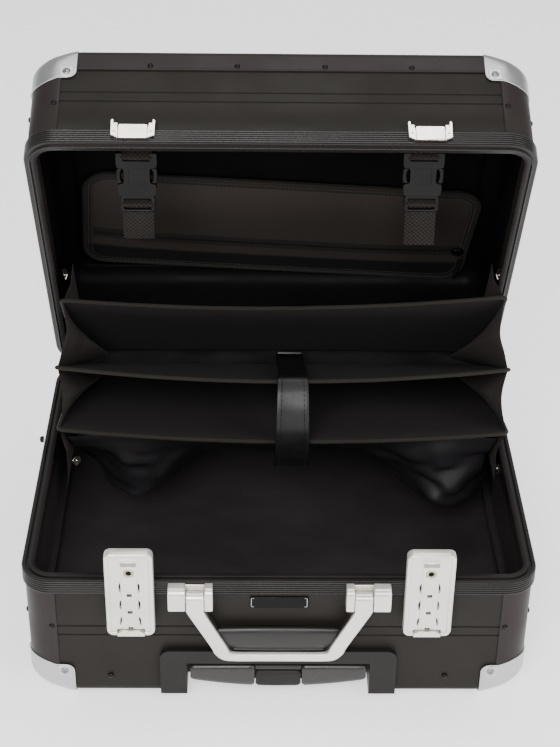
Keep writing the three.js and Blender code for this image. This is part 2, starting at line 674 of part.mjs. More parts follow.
for (const [side, sign] of [['left', -1], ['right', 1]]) {
  const bracket = handleBracket();
  add(model, `handle_bracket_${side}`, sign > 0 ? bracket : mirrorX(bracket), FINISH.latch);
}
add(model, 'handle_bow', handleBow(), FINISH.latch);
add(model, 'handle_grip', handleGrip(), FINISH.rubber);
const plateBack = PANEL_FRONT - FIT;
const nameplate = block(-26, 26, plateBack - 1.2, plateBack, 102.8, 115.2);
add(model, 'nameplate', nameplate, FINISH.plastic);

// ---- trolley ---------------------------------------------------------------------------------
function tubeSolid([width, height], y0, y1, wall) {
  const tube = block(-width / 2, width / 2, y0, y1, -height / 2, height / 2);
  if (!wall) {
    return tube;
  }
  const x = width / 2 - wall;
  const z = height / 2 - wall;
  return tube.subtract(block(-x, x, y0 - 1, y1 + 1, -z, z));
}

// An inverted U on the front wall, with a pocket behind it for the grip and two channels that
// run back under the lining's floor and hold the telescopic tubes.
function trolleyHousing() {
  const frame = new THREE.Shape();
  const corner = 9;
  frame.moveTo(-HOUSING_HALF, HOUSING_BOTTOM);
  frame.lineTo(-GRIP_OPENING, HOUSING_BOTTOM);
  frame.lineTo(-GRIP_OPENING, OPENING_TOP);
  frame.lineTo(GRIP_OPENING, OPENING_TOP);
  frame.lineTo(GRIP_OPENING, HOUSING_BOTTOM);
  frame.lineTo(HOUSING_HALF, HOUSING_BOTTOM);
  frame.lineTo(HOUSING_HALF, HOUSING_TOP - corner);
  frame.absarc(HOUSING_HALF - corner, HOUSING_TOP - corner, corner, 0, Math.PI / 2, false);
  frame.lineTo(-HOUSING_HALF + corner, HOUSING_TOP);
  frame.absarc(-HOUSING_HALF + corner, HOUSING_TOP - corner, corner, Math.PI / 2, Math.PI, false);
  frame.closePath();
  const face = PANEL_FRONT - EDGE_FRAME_PROUD - FIT;
  const front = extrudeAlongY(frame, HOUSING_FRONT, face);
  const wall = 2;
  const outer = block(-GRIP_OPENING - wall, GRIP_OPENING + wall, face - 1, POCKET_BACK + wall,
    HOUSING_BOTTOM - 3, OPENING_TOP + wall);
  const inside = block(-GRIP_OPENING, GRIP_OPENING, -FAR, POCKET_BACK, -FAR, OPENING_TOP);
  let housing = front.add(outer.subtract(inside));
  for (const side of [-1, 1]) {
    const holeSize = LOWER_TUBE_SIZE.map((size) => size + 2 * FIT);
    const hole = tubeSolid(holeSize, POCKET_BACK - 1, POCKET_BACK + 5, 0);
    const channel = tubeSolid(CHANNEL_SIZE, POCKET_BACK + 1, CHANNEL_END, TUBE_WALL);
    housing = housing.add(channel.translate([side * TUBE_X, 0, TUBE_Z]));
    housing = housing.subtract(hole.translate([side * TUBE_X, 0, TUBE_Z]));
  }
  return housing;
}

// The grip's lower edge bows down between its ends.
function gripShape() {
  const shape = new THREE.Shape();
  const half = GRIP_HALF;
  const endRise = 3;
  const end = half - 4;
  const low = GRIP_END_LOW - 0.6;
  shape.moveTo(-half, GRIP_END_LOW + endRise);
  shape.quadraticCurveTo(-half, GRIP_END_LOW, -end, low);
  shape.quadraticCurveTo(0, 2 * GRIP_MIDDLE_LOW - low, end, low);
  shape.quadraticCurveTo(half, GRIP_END_LOW, half, GRIP_END_LOW + endRise);
  shape.lineTo(half, GRIP_TOP - 2);
  shape.lineTo(half - 2, GRIP_TOP);
  shape.lineTo(-half + 2, GRIP_TOP);
  shape.lineTo(-half, GRIP_TOP - 2);
  shape.closePath();
  return extrudeAlongY(shape, HOUSING_FRONT, GRIP_BACK, 12);
}

function trolleyGrip() {
  const room = BUTTON_HALF + 0.9;
  const buttonRoom = block(-room, room, HOUSING_FRONT - 1, GRIP_BACK - GRIP_SKIN, 0, BUTTON_TOP + 0.9);
  return gripShape().subtract(buttonRoom);
}

function trolleyButton() {
  const back = GRIP_BACK - GRIP_SKIN - BUTTON_TRAVEL - FIT;
  const cut = block(-BUTTON_HALF, BUTTON_HALF, HOUSING_FRONT + 0.4, back, 0, BUTTON_TOP);
  return gripShape().intersect(cut);
}

add(model, 'trolley_housing', trolleyHousing(), FINISH.plastic);
add(model, 'trolley_grip', trolleyGrip(), FINISH.plastic);
add(model, 'trolley_button', trolleyButton(), FINISH.plastic);
for (const [side, sign] of [['left', -1], ['right', 1]]) {
  const at = new THREE.Group();
  at.position.set(sign * TUBE_X, 0, TUBE_Z);
  model.add(at);
  add(at, `trolley_tube_lower_${side}`, tubeSolid(LOWER_TUBE_SIZE, POCKET_BACK, CHANNEL_END - 12, TUBE_WALL),
    FINISH.steel);
  const upper = tubeSolid(UPPER_TUBE_SIZE, GRIP_BACK + FIT, CHANNEL_END - 24, 0);
  add(at, `trolley_tube_upper_${side}`, upper, FINISH.steel);
}

// ---- wheels and feet -------------------------------------------------------------------------
function wheelHousing(x) {
  const half = WHEEL_WIDTH / 2 + WELL_SIDE;
  const back = PANEL_DEPTH / 2 + EDGE_FRAME_PROUD;
  const outer = block(x - half - WELL_WALL, x + half + WELL_WALL, WELL_FRONT, back, -1, WELL_TOP);
  const inside = block(x - half, x + half, WELL_FRONT + WELL_WALL, FAR, -FAR, WELL_TOP - WELL_WALL);
  const axle = rodAlongX(AXLE_RADIUS, x - half - 1, x + half + 1, WHEEL_Y, WHEEL_Z);
  return outer.subtract(inside).add(axle);
}

function wheel(x) {
  const half = WHEEL_WIDTH / 2;
  const profile = [
    [AXLE_RADIUS + 0.08, -half], [14, -half], [WHEEL_RADIUS - 3, -half + 1], [WHEEL_RADIUS, -half + 4.5],
    [WHEEL_RADIUS, half - 4.5], [WHEEL_RADIUS - 3, half - 1], [14, half], [AXLE_RADIUS + 0.08, half],
    [AXLE_RADIUS + 0.08, -half],
  ].map(([radius, along]) => new THREE.Vector2(radius, along));
  const geometry = new THREE.LatheGeometry(profile, 24);
  return toSolid(geometry.rotateZ(-Math.PI / 2).translate(x, WHEEL_Y, WHEEL_Z));
}

for (const [side, sign] of [['left', -1], ['right', 1]]) {
  add(model, `wheel_housing_${side}`, wheelHousing(sign * WHEEL_X), FINISH.plastic);
  add(model, `wheel_${side}`, wheel(sign * WHEEL_X), FINISH.rubber);
  const foot = slab(34, 16, 5, -FOOT_HEIGHT, -FIT).translate([sign * FOOT_X, FOOT_Y, 0]);
  add(model, `base_foot_${side}`, foot, FINISH.rubber);
}

// ---- lid fittings ----------------------------------------------------------------------------
const pouchOutline = roundedRectangle(POUCH_WIDTH, POUCH_LENGTH, POUCH_RADIUS);
const pouchBlock = extrude(pouchOutline, POUCH_THICKNESS).rotateZ(POUCH_TILT);
const pouch = toSolid(pouchBlock.translate(POUCH_CENTRE_X, POUCH_MIDDLE, POUCH_LOW));
add(lid, 'zip_pouch', pouch, FINISH.fabric);

// A flat strap hanging from the lid's front wall, with its side-release buckle.
function buckledStrap() {
  const half = STRAP_WIDTH / 2;
  const webbing = block(-half, half, 0, STRAP_LENGTH, -WEBBING_HALF, WEBBING_HALF);
  const buckle = slab(BUCKLE_WIDTH, BUCKLE_LENGTH, BUCKLE_RADIUS, -BUCKLE_HALF_DEPTH, BUCKLE_HALF_DEPTH);
  return webbing.add(buckle.translate([0, BUCKLE_MIDDLE, 0]));
}

for (const [side, sign] of [['left', -1], ['right', 1]]) {
  const strap = add(lid, `lid_strap_${side}`, buckledStrap(), FINISH.fabric);
  strap.position.set(sign * STRAP_X, STRAP_FRONT, STRAP_START);
  strap.rotation.x = THREE.MathUtils.degToRad(STRAP_SLOPE);
}

// ---- dividers --------------------------------------------------------------------------------
for (const { name, angle, reach, offset } of DIVIDERS) {
  const fan = new THREE.Group();
  fan.position.set(0, HINGE_Y, BASE_HEIGHT);
  fan.rotation.x = THREE.MathUtils.degToRad(-angle);
  model.add(fan);
  const half = DIVIDER_THICKNESS / 2;
  const board = slab(2 * DIVIDER_HALF, reach - DIVIDER_START, 12, offset - half, offset + half);
  add(fan, name, board.translate([0, -(reach + DIVIDER_START) / 2, 0]), FINISH.fabric);
}

// Leather strap that hangs over the boards' front edges.
function closureStrap() {
  const outline = new THREE.Shape();
  const inner = STRAP_ARC_RADIUS;
  const outer = inner + 2.5;
  const low = THREE.MathUtils.degToRad(180 - CLOSURE_LOW);
  const high = THREE.MathUtils.degToRad(180 - CLOSURE_HIGH);
  outline.absarc(0, 0, outer, low, high, true);
  outline.absarc(0, 0, inner, high, low, false);
  outline.closePath();
  return extrudeAlongX(outline, -18, 18, 8).translate([CLOSURE_X, HINGE_Y, BASE_HEIGHT]);
}

add(model, 'closure_strap', closureStrap(), FINISH.leather);

export default model;
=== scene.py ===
"""Looks of the wheeled attache case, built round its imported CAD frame.

Lengths are millimetres and are turned into metres when a mesh is made. Lid pieces are drawn
closed, with z as the height above the parting plane, and turned open with the lid's hinge.
"""
import json
import math

import bmesh
import bpy
from mathutils import Matrix, Vector, noise


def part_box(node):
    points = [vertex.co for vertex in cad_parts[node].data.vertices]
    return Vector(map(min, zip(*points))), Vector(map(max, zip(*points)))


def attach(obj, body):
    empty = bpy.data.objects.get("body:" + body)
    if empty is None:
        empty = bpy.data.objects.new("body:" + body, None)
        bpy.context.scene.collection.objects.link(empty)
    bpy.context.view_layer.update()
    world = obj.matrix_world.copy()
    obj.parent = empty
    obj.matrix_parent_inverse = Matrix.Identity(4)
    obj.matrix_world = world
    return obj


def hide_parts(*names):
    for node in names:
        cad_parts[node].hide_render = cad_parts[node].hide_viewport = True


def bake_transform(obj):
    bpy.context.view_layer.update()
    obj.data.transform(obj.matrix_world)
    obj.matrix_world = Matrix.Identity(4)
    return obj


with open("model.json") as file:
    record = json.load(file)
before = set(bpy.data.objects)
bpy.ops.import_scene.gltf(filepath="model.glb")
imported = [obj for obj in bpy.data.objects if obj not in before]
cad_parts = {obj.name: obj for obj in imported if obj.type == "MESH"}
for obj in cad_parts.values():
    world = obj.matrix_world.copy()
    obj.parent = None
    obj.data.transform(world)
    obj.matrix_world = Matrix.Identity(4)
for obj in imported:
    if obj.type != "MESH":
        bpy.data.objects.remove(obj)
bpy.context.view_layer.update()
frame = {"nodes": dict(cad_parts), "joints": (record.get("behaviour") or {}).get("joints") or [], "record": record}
NODES = frame["nodes"]
JOINTS = {joint["name"]: joint for joint in frame["joints"]}
MM = 0.001
SIDES = (("left", -1), ("right", 1))

# ---- places taken from the frame ---------------------------------------------------------------
BASE = Matrix.Scale(MM, 4)
HINGE = Vector(JOINTS["lid_hinge"]["pos_m"]) / MM
LID_OPEN = -JOINTS["lid_hinge"]["range_deg"][0]


def fan(angle):
    """Frame on the lid's hinge, turned open by an angle: reach from the hinge runs along -Y."""
    turn = Matrix.Rotation(math.radians(-angle), 4, "X")
    return BASE @ Matrix.Translation(HINGE) @ turn


LID = fan(LID_OPEN) @ Matrix.Translation((0, -HINGE.y, 0))


def span(node, place=BASE):
    """Lowest and highest corner of a CAD node in a frame, in millimetres."""
    back = place.inverted()
    points = [back @ vertex.co for vertex in NODES[node].data.vertices]
    low = Vector(min(p[i] for p in points) for i in range(3))
    high = Vector(max(p[i] for p in points) for i in range(3))
    return low, high


rim_low, rim_high = span("base_rim")
shell_low, shell_high = span("base_shell")
RIM_WIDTH = rim_high.x - rim_low.x
RIM_DEPTH = rim_high.y - rim_low.y
PARTING = rim_high.z + 0.15
LID_TOP = span("lid_shell", LID)[1].z
PANEL_WIDTH = shell_high.x - shell_low.x
PANEL_DEPTH = shell_high.y - shell_low.y
PANEL_FRONT = shell_low.y
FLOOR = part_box("wheel_left")[0].z

RIM_BAND = 15.5
PANEL_RADIUS = 25
PANEL_EDGE = 8
BALL = 23.5
BALL_FADE = 18
POST_GAP = 2.5
CAP_GAP = 16
EDGE_FRAME = 25
EDGE_PROUD = 1.2
CAP_PROUD = 2.1
CAP_HEIGHT = 40
CAP_DROP = 4.5
CAP_REACH = 24
ARC_END_SHARE = 0.62

BASE_TRAY = BASE @ Matrix.Translation((0, 0, PARTING))
LID_TRAY = LID @ Matrix.Scale(-1, 4, (0, 0, 1))


# ---- mesh building -----------------------------------------------------------------------------
class Shape:
    """Points in millimetres, faces, and a cloth coordinate in millimetres for each face corner."""

    def __init__(self):
        self.points = []
        self.faces = []
        self.cloth = []

    def face(self, corners, cloth=None):
        self.faces.append(tuple(corners))
        self.cloth.append(cloth or [(0.0, 0.0)] * len(corners))

    def grid(self, rows, wrap_rows=False, wrap_columns=False, caps=False):
        """Quads between rows of points; wrapped directions close on themselves."""
        start = len(self.points)
        rows = [[Vector(point) for point in row] for row in rows]
        count = len(rows[0])
        for row in rows:
            self.points.extend(row)
        across = [0.0]
        middle = rows[len(rows) // 2]
        for c in range(count):
            across.append(across[-1] + (middle[(c + 1) % count] - middle[c]).length)
        along = [0.0]
        for r in range(len(rows)):
            along.append(along[-1] + (rows[(r + 1) % len(rows)][0] - rows[r][0]).length)
        for r in range(len(rows) if wrap_rows else len(rows) - 1):
            after = (r + 1) % len(rows)
            for c in range(count if wrap_columns else count - 1):
                right = (c + 1) % count
                corners = [start + r * count + c, start + after * count + c,
                           start + after * count + right, start + r * count + right]
                self.face(corners, [(across[c], along[r]), (across[c], along[r + 1]),
                                    (across[c + 1], along[r + 1]), (across[c + 1], along[r])])
        if caps:
            self.face([start + c for c in range(count)])
            last = start + (len(rows) - 1) * count
            self.face([last + c for c in reversed(range(count))])
        return self

    def fill(self, ring, levels, lift):
        """Closes a ring of points with shrinking copies of itself, each lifted by a function."""
        centre = sum((Vector(p) for p in ring), Vector()) / len(ring)
        rows = []
        for level in range(levels + 1):
            share = 1 - level / (levels + 0.6)
            rows.append([lift(centre + (Vector(p) - centre) * share, 1 - share) for p in ring])
        start = len(self.points)
        for row in rows:
            self.points.extend(row)
        count = len(ring)
        for r in range(levels):
            for c in range(count):
                right = (c + 1) % count
                corners = [start + r * count + c, start + (r + 1) * count + c,
                           start + (r + 1) * count + right, start + r * count + right]
                self.face(corners, [tuple(self.points[i][:2]) for i in corners])
        inner = [start + levels * count + c for c in range(count)]
        self.face(inner, [tuple(self.points[i][:2]) for i in inner])
        return self

    def merge(self, other, place=None):
        start = len(self.points)
        for point in other.points:
            self.points.append(place @ point if place else point)
        for corners, cloth in zip(other.faces, other.cloth):
            self.face([start + i for i in corners], cloth)
        return self


def build(name, shape, place=BASE, sharp=35, closed=True):
    """Object made from a shape: its points go to metres, and its normals point out."""
    mesh = bpy.data.meshes.new(name)
    mesh.from_pydata([place @ point for point in shape.points], [], shape.faces)
    layer = mesh.uv_layers.new(name="cloth")
    corner = 0
    for cloth in shape.cloth:
        for u, v in cloth:
            layer.data[corner].uv = (u, v)
            corner += 1
    work = bmesh.new()
    work.from_mesh(mesh)
    if closed:
        bmesh.ops.remove_doubles(work, verts=work.verts, dist=1e-7)
        bmesh.ops.recalc_face_normals(work, faces=work.faces)
    elif place.determinant() < 0:
        bmesh.ops.reverse_faces(work, faces=work.faces)
    work.to_mesh(mesh)
    work.free()
    mesh.shade_smooth()
    mesh.set_sharp_from_angle(angle=math.radians(sharp))
    piece = bpy.data.objects.new(name, mesh)
    bpy.context.scene.collection.objects.link(piece)
    return piece


def weld(piece):
    """Joins points that coincide, so that the surface is in one part."""
    work = bmesh.new()
    work.from_mesh(piece.data)
    bmesh.ops.remove_doubles(work, verts=work.verts, dist=1e-6)
    work.to_mesh(piece.data)
    work.free()
    return piece


def dress(piece, look, body, slot, *stands_for):
    """Gives a piece its material and the body it rides on, and hides the nodes it stands for; the slot is not
    used.
    """
    piece.data.materials.clear()
    piece.data.materials.append(look)
    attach(piece, body)
    if stands_for:
        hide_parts(*stands_for)
    return piece


def bevel(piece, width, segments=2, angle=35):
    modifier = piece.modifiers.new("bevel", "BEVEL")
    modifier.width = width * MM
    modifier.segments = segments
    modifier.limit_method = "ANGLE"
    modifier.angle_limit = math.radians(angle)
    modifier.harden_normals = False
    return piece


def thicken(piece, thickness, offset=-1):
    modifier = piece.modifiers.new("thickness", "SOLIDIFY")
    modifier.thickness = thickness * MM
    modifier.offset = offset
    modifier.use_even_offset = False
    return piece


def subdivide(piece, levels=1):
    modifier = piece.modifiers.new("subdivide", "SUBSURF")
    modifier.levels = levels
    modifier.render_levels = levels
    return piece


def settle(piece, sharp=35):
    """Applies a piece's modifiers."""
    graph = bpy.context.evaluated_depsgraph_get()
    graph.update()
    mesh = bpy.data.meshes.new_from_object(piece.evaluated_get(graph))
    piece.modifiers.clear()
    piece.data = mesh
    mesh.shade_smooth()
    mesh.set_sharp_from_angle(angle=math.radians(sharp))
    return piece


def carve(piece, *cutters):
    """Cuts shapes out of a piece."""
    for cutter in cutters:
        modifier = piece.modifiers.new("carve", "BOOLEAN")
        modifier.operation = "DIFFERENCE"
        modifier.solver = "EXACT"
        modifier.object = cutter
    settle(piece)
    for cutter in cutters:
        bpy.data.objects.remove(cutter)
    return piece


# ---- outlines and simple solids ----------------------------------------------------------------
def rounded(width, depth, radius, steps=6, centre=(0, 0)):
    """Points of a rounded rectangle in a plane, anticlockwise."""
    points = []
    for k, (sx, sy) in enumerate(((1, 1), (-1, 1), (-1, -1), (1, -1))):
        for step in range(steps + 1):
            angle = math.pi / 2 * (k + step / steps)
            x = sx * (width / 2 - radius) + radius * math.cos(angle)
            y = sy * (depth / 2 - radius) + radius * math.sin(angle)
            points.append((centre[0] + x, centre[1] + y))
    return points


def plate(points, low, high, axis="z"):
    """Closed solid of a flat outline between two depths along an axis."""
    def lay(u, v, w):
        return Vector({"z": (u, v, w), "y": (u, w, v), "x": (w, u, v)}[axis])
    return Shape().grid([[lay(u, v, low) for u, v in points], [lay(u, v, high) for u, v in points]],
                        wrap_columns=True, caps=True)


def box(low, high):
    outline = [(low[0], low[1]), (high[0], low[1]), (high[0], high[1]), (low[0], high[1])]
    return plate(outline, low[2], high[2])


def circle(radius, steps):
    """Points of a circle in a plane, anticlockwise."""
    turns = [2 * math.pi * s / steps for s in range(steps)]
    return [(radius * math.cos(t), radius * math.sin(t)) for t in turns]


def lathe(profile, steps=32):
    """Closed solid turned about Z from (radius, height) points, with a flat face at both ends."""
    rows = [[(x, y, height) for x, y in circle(radius, steps)] for radius, height in profile]
    return Shape().grid(rows, wrap_columns=True, caps=True)


def tube(path, radius, sides=8, closed=False):
    """Round tube along a list of points."""
    path = [Vector(point) for point in path]
    rows = []
    count = len(path)
    for i, point in enumerate(path):
        before = path[(i - 1) % count] if closed or i else point
        after = path[(i + 1) % count] if closed or i < count - 1 else point
        along = (after - before).normalized()
        side = along.cross(Vector((0, 0, 1)))
        if side.length < 0.1:
            side = along.cross(Vector((0, 1, 0)))
        side.normalize()
        up = side.cross(along)
        turns = [2 * math.pi * s / sides for s in range(sides)]
        rows.append([point + radius * (math.cos(t) * side + math.sin(t) * up) for t in turns])
    return Shape().grid(rows, wrap_rows=closed, wrap_columns=True, caps=not closed)


def toward(point, direction):
    """Frame at a point whose Z runs along a direction."""
    turn = Vector(direction).to_track_quat("Z", "Y").to_matrix().to_4x4()
    return Matrix.Translation(point) @ turn


def smoothstep(low, high, value):
    share = min(1.0, max(0.0, (value - low) / (high - low)))
    return share * share * (3 - 2 * share)


def wrinkle(point, size, seed=0.0):
    """Soft folds of cloth, from -1 to 1."""
    at = Vector(point) / size + Vector((seed, 2 * seed, -seed))
    return noise.noise(at) + 0.5 * noise.noise(at * 2.1)


# ---- rivets and screws -------------------------------------------------------------------------
def rivet(radius, height):
    steps = 5
    arc = [(radius * math.cos(math.pi / 2 * s / steps), height * math.sin(math.pi / 2 * s / steps))
           for s in range(steps)]
    return lathe([(radius, -0.6)] + arc + [(radius * 0.1, height)], 18)


def cross_screw(radius, height):
    """Domed head with a cross-shaped recess."""
    steps = 32
    rows = [[(x, y, -0.6) for x, y in circle(radius, steps)]]
    for share in (1, 0.96, 0.86, 0.72, 0.6, 0.5, 0.38, 0.25, 0.12):
        row = []
        z = height * math.sqrt(max(0.0, 1 - share ** 2))
        for x, y in circle(radius * share, steps):
            inside = min(abs(x), abs(y)) < radius * 0.13 and max(abs(x), abs(y)) < radius * 0.62
            row.append((x, y, z - (0.35 * height + 0.3 if inside else 0)))
        rows.append(row)
    return Shape().grid(rows, wrap_columns=True, caps=True)


def scatter(shape, places):
    """One shape repeated at (point, direction) places."""
    made = Shape()
    for point, direction in places:
        made.merge(shape, toward(point, direction))
    return made


# ---- materials ---------------------------------------------------------------------------------
def linear(*values):
    """Colour from 0 to 255 screen values, as the linear numbers that shaders take."""
    return [((v / 255 + 0.055) / 1.055) ** 2.4 if v > 10 else v / 255 / 12.92 for v in values]


class Look:
    """A Principled material and short ways to add procedural detail to it."""

    def __init__(self, name, colour, roughness, metallic=0.0, **sockets):
        self.material = bpy.data.materials.new(name)
        self.material.use_nodes = True
        self.tree = self.material.node_tree
        self.shader = self.tree.nodes["Principled BSDF"]
        self.colour = colour
        self.shader.inputs["Base Color"].default_value = (*colour, 1)
        self.shader.inputs["Roughness"].default_value = roughness
        self.shader.inputs["Metallic"].default_value = metallic
        for socket, value in sockets.items():
            self.shader.inputs[socket.replace("_", " ")].default_value = value
        self.height = None
        self.material.diffuse_color = (*colour, 1)

    def node(self, kind, **settings):
        made = self.tree.nodes.new(kind)
        for key, value in settings.items():
            if key in made.inputs:
                made.inputs[key].default_value = value
            else:
                setattr(made, key, value)
        return made

    def link(self, source, target):
        self.tree.links.new(source, target)
        return self

    def coordinates(self, kind="Object", stretch=(1, 1, 1)):
        source = self.node("ShaderNodeTexCoord")
        mapping = self.node("ShaderNodeMapping", Scale=stretch)
        self.link(source.outputs[kind], mapping.inputs["Vector"])
        return mapping.outputs["Vector"]

    def noise(self, scale, detail=3.0, stretch=(1, 1, 1)):
        made = self.node("ShaderNodeTexNoise", Scale=scale, Detail=detail)
        self.link(self.coordinates(stretch=stretch), made.inputs["Vector"])
        return made.outputs["Fac"]

    def ramp(self, value, low, high, start=0.35, end=0.65):
        made = self.node("ShaderNodeMapRange")
        made.inputs["From Min"].default_value = start
        made.inputs["From Max"].default_value = end
        made.inputs["To Min"].default_value = low
        made.inputs["To Max"].default_value = high
        self.link(value, made.inputs["Value"])
        return made.outputs["Result"]

    def rough(self, value, low, high):
        return self.link(self.ramp(value, low, high), self.shader.inputs["Roughness"])

    def tint(self, value, darker, lighter, start=0.35, end=0.65):
        """Varies the colour between a darker and a lighter share of itself."""
        mix = self.node("ShaderNodeMix", data_type="RGBA")
        for socket, share in (("A", darker), ("B", lighter)):
            for candidate in mix.inputs:
                if candidate.name == socket and candidate.type == "RGBA":
                    candidate.default_value = (*[c * share for c in self.colour], 1)
        factor = next(s for s in mix.inputs if s.name == "Factor" and s.type == "VALUE")
        result = next(s for s in mix.outputs if s.type == "RGBA")
        self.link(self.ramp(value, 0, 1, start, end), factor)
        return self.link(result, self.shader.inputs["Base Color"])

    def bump(self, value, strength, distance):
        """Adds a height in millimetres on top of what is there."""
        made = self.node("ShaderNodeBump", Strength=strength, Distance=distance * MM)
        self.link(value, made.inputs["Height"])
        if self.height:
            self.link(self.height, made.inputs["Normal"])
        self.height = made.outputs["Normal"]
        return self.link(self.height, self.shader.inputs["Normal"])

    def weave(self, pitch, ratio=1.0):
        """Height of crossing threads on the cloth coordinate, from 0 to 1."""
        split = self.node("ShaderNodeSeparateXYZ")
        self.link(self.coordinates("UV"), split.inputs[0])
        waves = []
        for axis, step in (("X", pitch), ("Y", pitch * ratio)):
            turn = self.node("ShaderNodeMath", operation="MULTIPLY")
            turn.inputs[1].default_value = math.pi / step
            self.link(split.outputs[axis], turn.inputs[0])
            wave = self.node("ShaderNodeMath", operation="SINE")
            self.link(turn.outputs[0], wave.inputs[0])
            waves.append(wave.outputs[0])
        cross = self.node("ShaderNodeMath", operation="MULTIPLY")
        self.link(waves[0], cross.inputs[0])
        self.link(waves[1], cross.inputs[1])
        shift = self.node("ShaderNodeMath", operation="MULTIPLY_ADD")
        shift.inputs[1].default_value = 0.5
        shift.inputs[2].default_value = 0.5
        self.link(cross.outputs[0], shift.inputs[0])
        return shift.outputs[0]


def painted(name, colour, roughness, specular=0.14):
    """Fine-textured satin paint, a little worn and dusty."""
    look = Look(name, colour, roughness, 0.0, Specular_IOR_Level=specular)
    look.bump(look.noise(1800, 2), 0.25, 0.05)
    look.rough(look.noise(22, 4), roughness - 0.05, roughness + 0.07)
    look.tint(look.noise(9, 4), 0.92, 1.08)
    return look.material


def metal(name, colour, roughness, grain=700, stretch=(1, 1, 1), strength=0.2):
    look = Look(name, colour, roughness, 1.0)
    look.bump(look.noise(grain, 2, stretch), strength, 0.03)
    look.rough(look.noise(60, 3), roughness - 0.05, roughness + 0.07)
    look.tint(look.noise(30, 3), 0.96, 1.04)
    return look.material


def plastic(name, colour, roughness, grain=1500, strength=0.3, specular=0.22):
    look = Look(name, colour, roughness, Specular_IOR_Level=specular)
    look.bump(look.noise(grain, 2), strength, 0.06)
    look.rough(look.noise(40, 3), roughness - 0.05, roughness + 0.06)
    return look.material


def cloth(name, colour, pitch, strength=0.6, sheen=0.25, ratio=1.0, roughness=0.8, contrast=0.3):
    look = Look(name, colour, roughness, Specular_IOR_Level=0.15, Sheen_Weight=sheen,
                Sheen_Roughness=0.5)
    threads = look.weave(pitch, ratio)
    look.tint(threads, 1 - contrast, 1 + contrast, 0.1, 0.9)
    look.bump(look.noise(120, 3), 0.3, 0.6)
    look.bump(threads, strength, pitch * 0.25)
    return look.material


def satin_lining(name, colour, specular=0.4):
    """Thin woven lining with a soft sheen and shallow creases."""
    look = Look(name, colour, 0.5, Specular_IOR_Level=specular)
    threads = look.weave(0.7)
    look.rough(look.noise(14, 4), 0.46, 0.62)
    look.bump(look.noise(16, 5), 0.8, 3.0)
    look.bump(threads, 0.25, 0.12)
    return look.material


def grained_leather():
    look = Look("leather_black", linear(11, 11, 12), 0.46, Specular_IOR_Level=0.38)
    grain = look.node("ShaderNodeTexVoronoi", Scale=900)
    look.link(look.coordinates(), grain.inputs["Vector"])
    look.rough(look.noise(70, 3), 0.36, 0.5)
    look.bump(grain.outputs["Distance"], 0.35, 0.15)
    return look.material


PANEL = painted("panel_paint", linear(31, 28, 25), 0.5)
PROFILE = painted("profile_paint", linear(41, 36, 35), 0.42)
RIBBED = painted("rim_paint", linear(32, 29, 28), 0.3, 0.34)
CORNER = metal("corner_cast", linear(182, 185, 183), 0.42, 500)
CORNER_PAD = metal("corner_pad", linear(188, 190, 188), 0.34, 500)
LATCH = metal("latch_cast", linear(226, 222, 214), 0.34, 500, strength=0.12)
LATCH.node_tree.nodes["Principled BSDF"].inputs["Metallic"].default_value = 0.65
NICKEL = metal("keeper_nickel", linear(244, 234, 222), 0.24, 900, strength=0.1)
BRASS = metal("key_brass", linear(206, 196, 170), 0.28)
STEEL = metal("steel_brushed", linear(150, 150, 150), 0.34, 300, (0.05, 1, 1))
DARK_METAL = metal("rivet_black", linear(40, 38, 38), 0.4)
MOULDED = plastic("moulded_plastic", linear(27, 24, 23), 0.5)
SOFT_GRIP = plastic("grip_soft", linear(44, 41, 40), 0.42, 1200)
BUCKLE = plastic("buckle_plastic", linear(11, 9, 8), 0.42, specular=0.2)
ROLL = plastic("grip_roll", linear(22, 20, 19), 0.34, 900, 0.8, 0.42)
GLOSSY_GRIP = plastic("grip_glossy", linear(30, 27, 26), 0.3, 1200, 0.4, 0.5)
GLOSS = plastic("dial_gloss", linear(7, 7, 7), 0.25, 600, 0.1, 0.12)
MARK = plastic("dial_mark", linear(225, 222, 214), 0.5)
TREAD = plastic("tread_rubber", linear(26, 26, 26), 0.75, 900, 0.5)
LINING = satin_lining("lining_satin", linear(42, 38, 40))
# Darker copy of the lining for the cloth under the lowest board: painted shade.
SLACK_PAINTED_SHADE = satin_lining("lining_slack_painted_shade", linear(24, 22, 24), 0.2)
# Darker copy of the lining satin, as painted shade: it stands for the shade inside the open lid and between the
# boards.
LINING_PAINTED_SHADE = satin_lining("lining_satin_painted_shade", linear(14, 13, 14), 0.06)
BOARD = cloth("board_weave", linear(36, 32, 32), 1.1, 0.7, 0.01)
BINDING = cloth("binding_tape", linear(33, 30, 26), 0.9, 0.6, 0.04)
NYLON = cloth("pouch_nylon", linear(52, 46, 43), 0.9, 0.6, 0.02, ratio=1.6)
# Dark nylon: the thread colour of the strap's stitches, and painted shade on the pouch's lower part.
NYLON_DARK_THREAD_AND_SHADE = cloth("nylon_dark_thread_and_painted_shade", linear(14, 14, 14), 0.9, 0.6, 0.02, ratio=1.6)
WEBBING = cloth("webbing_weave", linear(32, 28, 25), 2.2, 1.0, 0.02, ratio=0.9, contrast=0.6)
GUSSET = cloth("gusset_cloth", linear(52, 47, 45), 0.9, 0.5, 0.01)
THREAD = cloth("thread", linear(50, 45, 42), 0.4)
LEATHER = grained_leather()


# ---- the case's outline ------------------------------------------------------------------------
class Place:
    """A step round the case: a point, its outward direction, its corner and how ball-like it is."""

    def __init__(self, x, y, angle, corner, gap, share):
        self.x, self.y = x, y
        self.nx, self.ny = math.cos(angle), math.sin(angle)
        self.corner, self.gap, self.share = corner, gap, share

    def at(self, out, z):
        return Vector((self.x + out * self.nx, self.y + out * self.ny, z))

    def ball(self):
        return PANEL_EDGE + (BALL - PANEL_EDGE) * self.share


